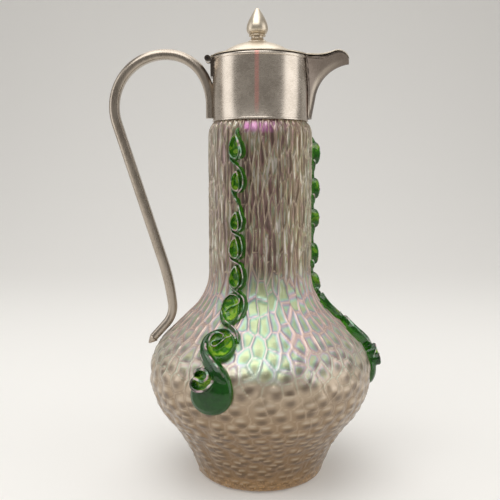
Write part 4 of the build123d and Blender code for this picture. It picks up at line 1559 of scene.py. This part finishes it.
@dataclass(frozen=True)
class SoftBox:
    """Rectangular lamp that faces the jug: place and size in metres, and brightness, 1 being white."""

    name: str
    place: tuple[float, float, float]
    size: tuple[float, float]
    bright: float

    def add(self, aim: tuple[float, float, float]) -> None:
        """Adds the lamp. Its power is pi times its area times its brightness."""
        data = bpy.data.lights.new(self.name, "AREA")
        data.shape = "RECTANGLE"
        data.size, data.size_y = self.size
        data.energy = math.pi * self.size[0] * self.size[1] * self.bright
        lamp = add_object(self.name, data)
        lamp.location = self.place
        lamp.rotation_euler = (Vector(aim) - Vector(self.place)).to_track_quat("-Z", "Y").to_euler()
        lamp.visible_camera = False


@dataclass(frozen=True)
class Studio:
    """Pale floor and backdrop, soft boxes and the photograph's camera. Sizes in metres."""

    eye: tuple[float, float, float] = (-0.00593, -0.39684, 0.17847)
    pitch: float = 83.38
    lens: float = 48.96
    paper: str = "#D9D7D3"
    paper_glow: float = 0.31
    room: str = "#C9C6C2"
    room_bright: float = 0.45
    aim: tuple[float, float, float] = (0.0, 0.0, 0.14)
    lamps: tuple[SoftBox, ...] = (
        SoftBox("left", (-0.9, -0.08, 0.3), (0.5, 1.1), 1.27),
        SoftBox("right", (0.88, -0.2, 0.3), (0.66, 1.1), 1.3),
        SoftBox("top", (0.0, 0.3, 1.1), (1.0, 1.0), 1.6),
        SoftBox("key", (-0.2, -0.55, 1.2), (1.2, 0.9), 2.5),
    )

    def add_camera(self) -> None:
        """Sets the camera where the photograph was taken."""
        data = bpy.data.cameras.new("camera")
        data.lens = self.lens
        data.clip_start = 0.01
        camera = add_object("camera", data)
        camera.location = self.eye
        camera.rotation_euler = (math.radians(self.pitch), 0, 0)
        bpy.context.scene.camera = camera

    def add_floor(self) -> None:
        """Level floor that curves up into a backdrop behind: a strip carried along a line with one bend."""
        half = 3.0
        rows = 60
        route = Route((-half, 0), 0, (Leg(half + 0.7), arc(0.8, 90), Leg(2.5)))
        flat, _ = route.at(np.linspace(0, route.length, rows))
        across = np.linspace(-half, half, 2)
        places = np.stack([np.repeat(across[None, :], rows, 0), np.repeat(flat[:, 0:1], 2, 1),
                           np.repeat(flat[:, 1:2], 2, 1)], axis=-1).reshape(-1, 3)
        faces = grid_faces(rows, 2, ring=False)
        mesh = bpy.data.meshes.new("studio_floor")
        mesh.from_pydata(places.tolist(), [], faces.tolist())
        smooth_faces(mesh)
        mesh.materials.append(self.make_paper())
        add_object("studio_floor", mesh)

    def make_paper(self) -> bpy.types.Material:
        """Matt paper that also glows to the camera and in reflections, so it is pale far from the lamps."""
        surface = Surface("Studio paper")
        path = surface.add("LightPath")
        seen = path["Is Camera Ray"]
        for ray in ("Is Glossy Ray", "Is Transmission Ray"):
            seen = surface.math("MAXIMUM", seen, path[ray])
        paper = linear(self.paper)
        surface.give(Base_Color=paper, Emission_Color=paper, Roughness=0.9,
                     Emission_Strength=surface.math("MULTIPLY", seen, self.paper_glow))
        return surface.material

    def add_lamps(self) -> None:
        """Soft boxes round the jug and a dim grey room."""
        for lamp in self.lamps:
            lamp.add(self.aim)
        world = bpy.data.worlds.new("room")
        world.use_nodes = True
        background = world.node_tree.nodes["Background"]
        background.inputs["Color"].default_value = linear(self.room)
        background.inputs["Strength"].default_value = self.room_bright
        bpy.context.scene.world = world


def paint(piece: bpy.types.Object, material: bpy.types.Material) -> None:
    """Gives a piece one material in place of its old ones."""
    piece.data.materials.clear()
    piece.data.materials.append(material)


def dress(piece: bpy.types.Object, material: bpy.types.Material, slot: Slot, body: Body, *nodes: str) -> None:
    """Gives a new piece its material and its body, hides the nodes that it stands for, and reports it."""
    paint(piece, material)
    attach(piece, body.value)
    if nodes:
        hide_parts(*nodes)
    log.info("%s: %d faces on %s", piece.name, len(piece.data.polygons), body.value)


def main() -> None:
    """Builds the studio, the glass, the mount and the lid in order."""
    logging.basicConfig(level=logging.INFO, format="%(message)s")
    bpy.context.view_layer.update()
    scene = bpy.context.scene
    scene.view_settings.view_transform = "Standard"
    studio = Studio()
    studio.add_camera()
    studio.add_floor()
    studio.add_lamps()

    lustre = LustreGlass().make()
    green = GreenGlass().make()
    copper = Wear(-2.3, 1.6, 208.0, "#FFBDB2")
    solder = Wear(26.2, 0.8, 205.0, "#A07058")
    brushed = SilverPlate("Silver plate, brushed round and worn", "#D6CBBE", "#BDB2A5", 0.27, 0.04, 0.4,
                          (0.25, 0.25, 1.0), 0.03, (copper, solder)).make()
    # Darker copy of the silver plate for the spout and the hinge leaf: painted shade for the dark room that
    # its sides reflect
    shaded = SilverPlate("Silver plate, darkened_for_painted_shade", "#766C64", "#625850", 0.24, 0.04, 0.6,
                         (1.0, 1.0, 0.5), 0.05).make()
    satin = SilverPlate("Silver plate, satin", "#B3A89B", "#A09588", 0.28, 0.03, 0.5,
                        (1.0, 1.0, 0.2), 0.015).make()
    bright = SilverPlate("Silver plate, polished to satin", "#D8CCB9", "#C6B9A6", 0.36, 0.04, 0.5,
                         (1.0, 1.0, 1.0), 0.04).make()
    steel = SilverPlate("Drawn steel, darkened", "#4A4846", "#2E2C2B", 0.4, 0.05, 0.4,
                        (1.0, 0.1, 1.0), 0.1).make()
    plaster = Plaster().make()

    bottle = Bottle()
    dress(bottle.build(), lustre, Slot.LUSTRE, Body.JUG, "glass_bottle")
    spout_cups = (Hollow(9.4, 0.0, 13.4, 6.4, 5.6), Hollow(29.5, 0.3, 12.6, 5.8, 5.6),
                  Hollow(46.9, 0.1, 11.4, 5.6, 5.6), Hollow(67.6, -0.2, 13.0, 6.4, 5.4),
                  Hollow(84.6, -0.2, 12.0, 6.6, 5.4))
    back_cups = (Hollow(7.4, 0.1, 13.0, 6.4), Hollow(25.8, -0.2, 12.2, 5.8), Hollow(44.8, 0.3, 11.6, 5.6),
                 Hollow(60.6, 0.0, 12.0, 6.2), Hollow(77.2, 0.2, 13.0, 6.8))
    for trail, node in ((Trail("trail_spout", 0.0, bottle, spout_cups, 6.0, 4.0, 2.0), "spout_trail"),
                        (Trail("trail_front", -116.0, bottle), "front_trail"),
                        (Trail("trail_back", 120.0, bottle, back_cups, 0.6, 0.4), "back_trail")):
        dress(trail.build(), green, Slot.GREEN, Body.JUG, node)

    collar = Collar()
    dress(collar.build(), brushed, Slot.BRUSHED, Body.JUG, "collar_band")
    spout = Spout(collar)
    dress(spout.build(), shaded, Slot.BRUSHED, Body.JUG, "spout")
    handle = Handle()
    dress(handle.build(), satin, Slot.SATIN, Body.JUG, "handle_rod")
    dress(handle.build_tip(), satin, Slot.SATIN, Body.JUG, "handle_tip")

    lid = Lid(spout)
    dress(lid.build_plate(), bright, Slot.BRIGHT, Body.LID, "lid_cover")
    dress(lid.build_dome(), bright, Slot.BRIGHT, Body.LID)
    dress(lid.build_finial(), bright, Slot.BRIGHT, Body.LID, "finial_base", "finial_knob")

    for node, material in (("collar_leaf", shaded), ("lid_tongue", bright), ("hinge_pin", steel),
                           ("finial_nut", steel), ("plaster_bed", plaster), ("lip_ring", satin)):
        paint(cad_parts[node], material)
        log.info("%s: CAD node in %s", node, material.name)


if __name__ == "__main__":
    main()
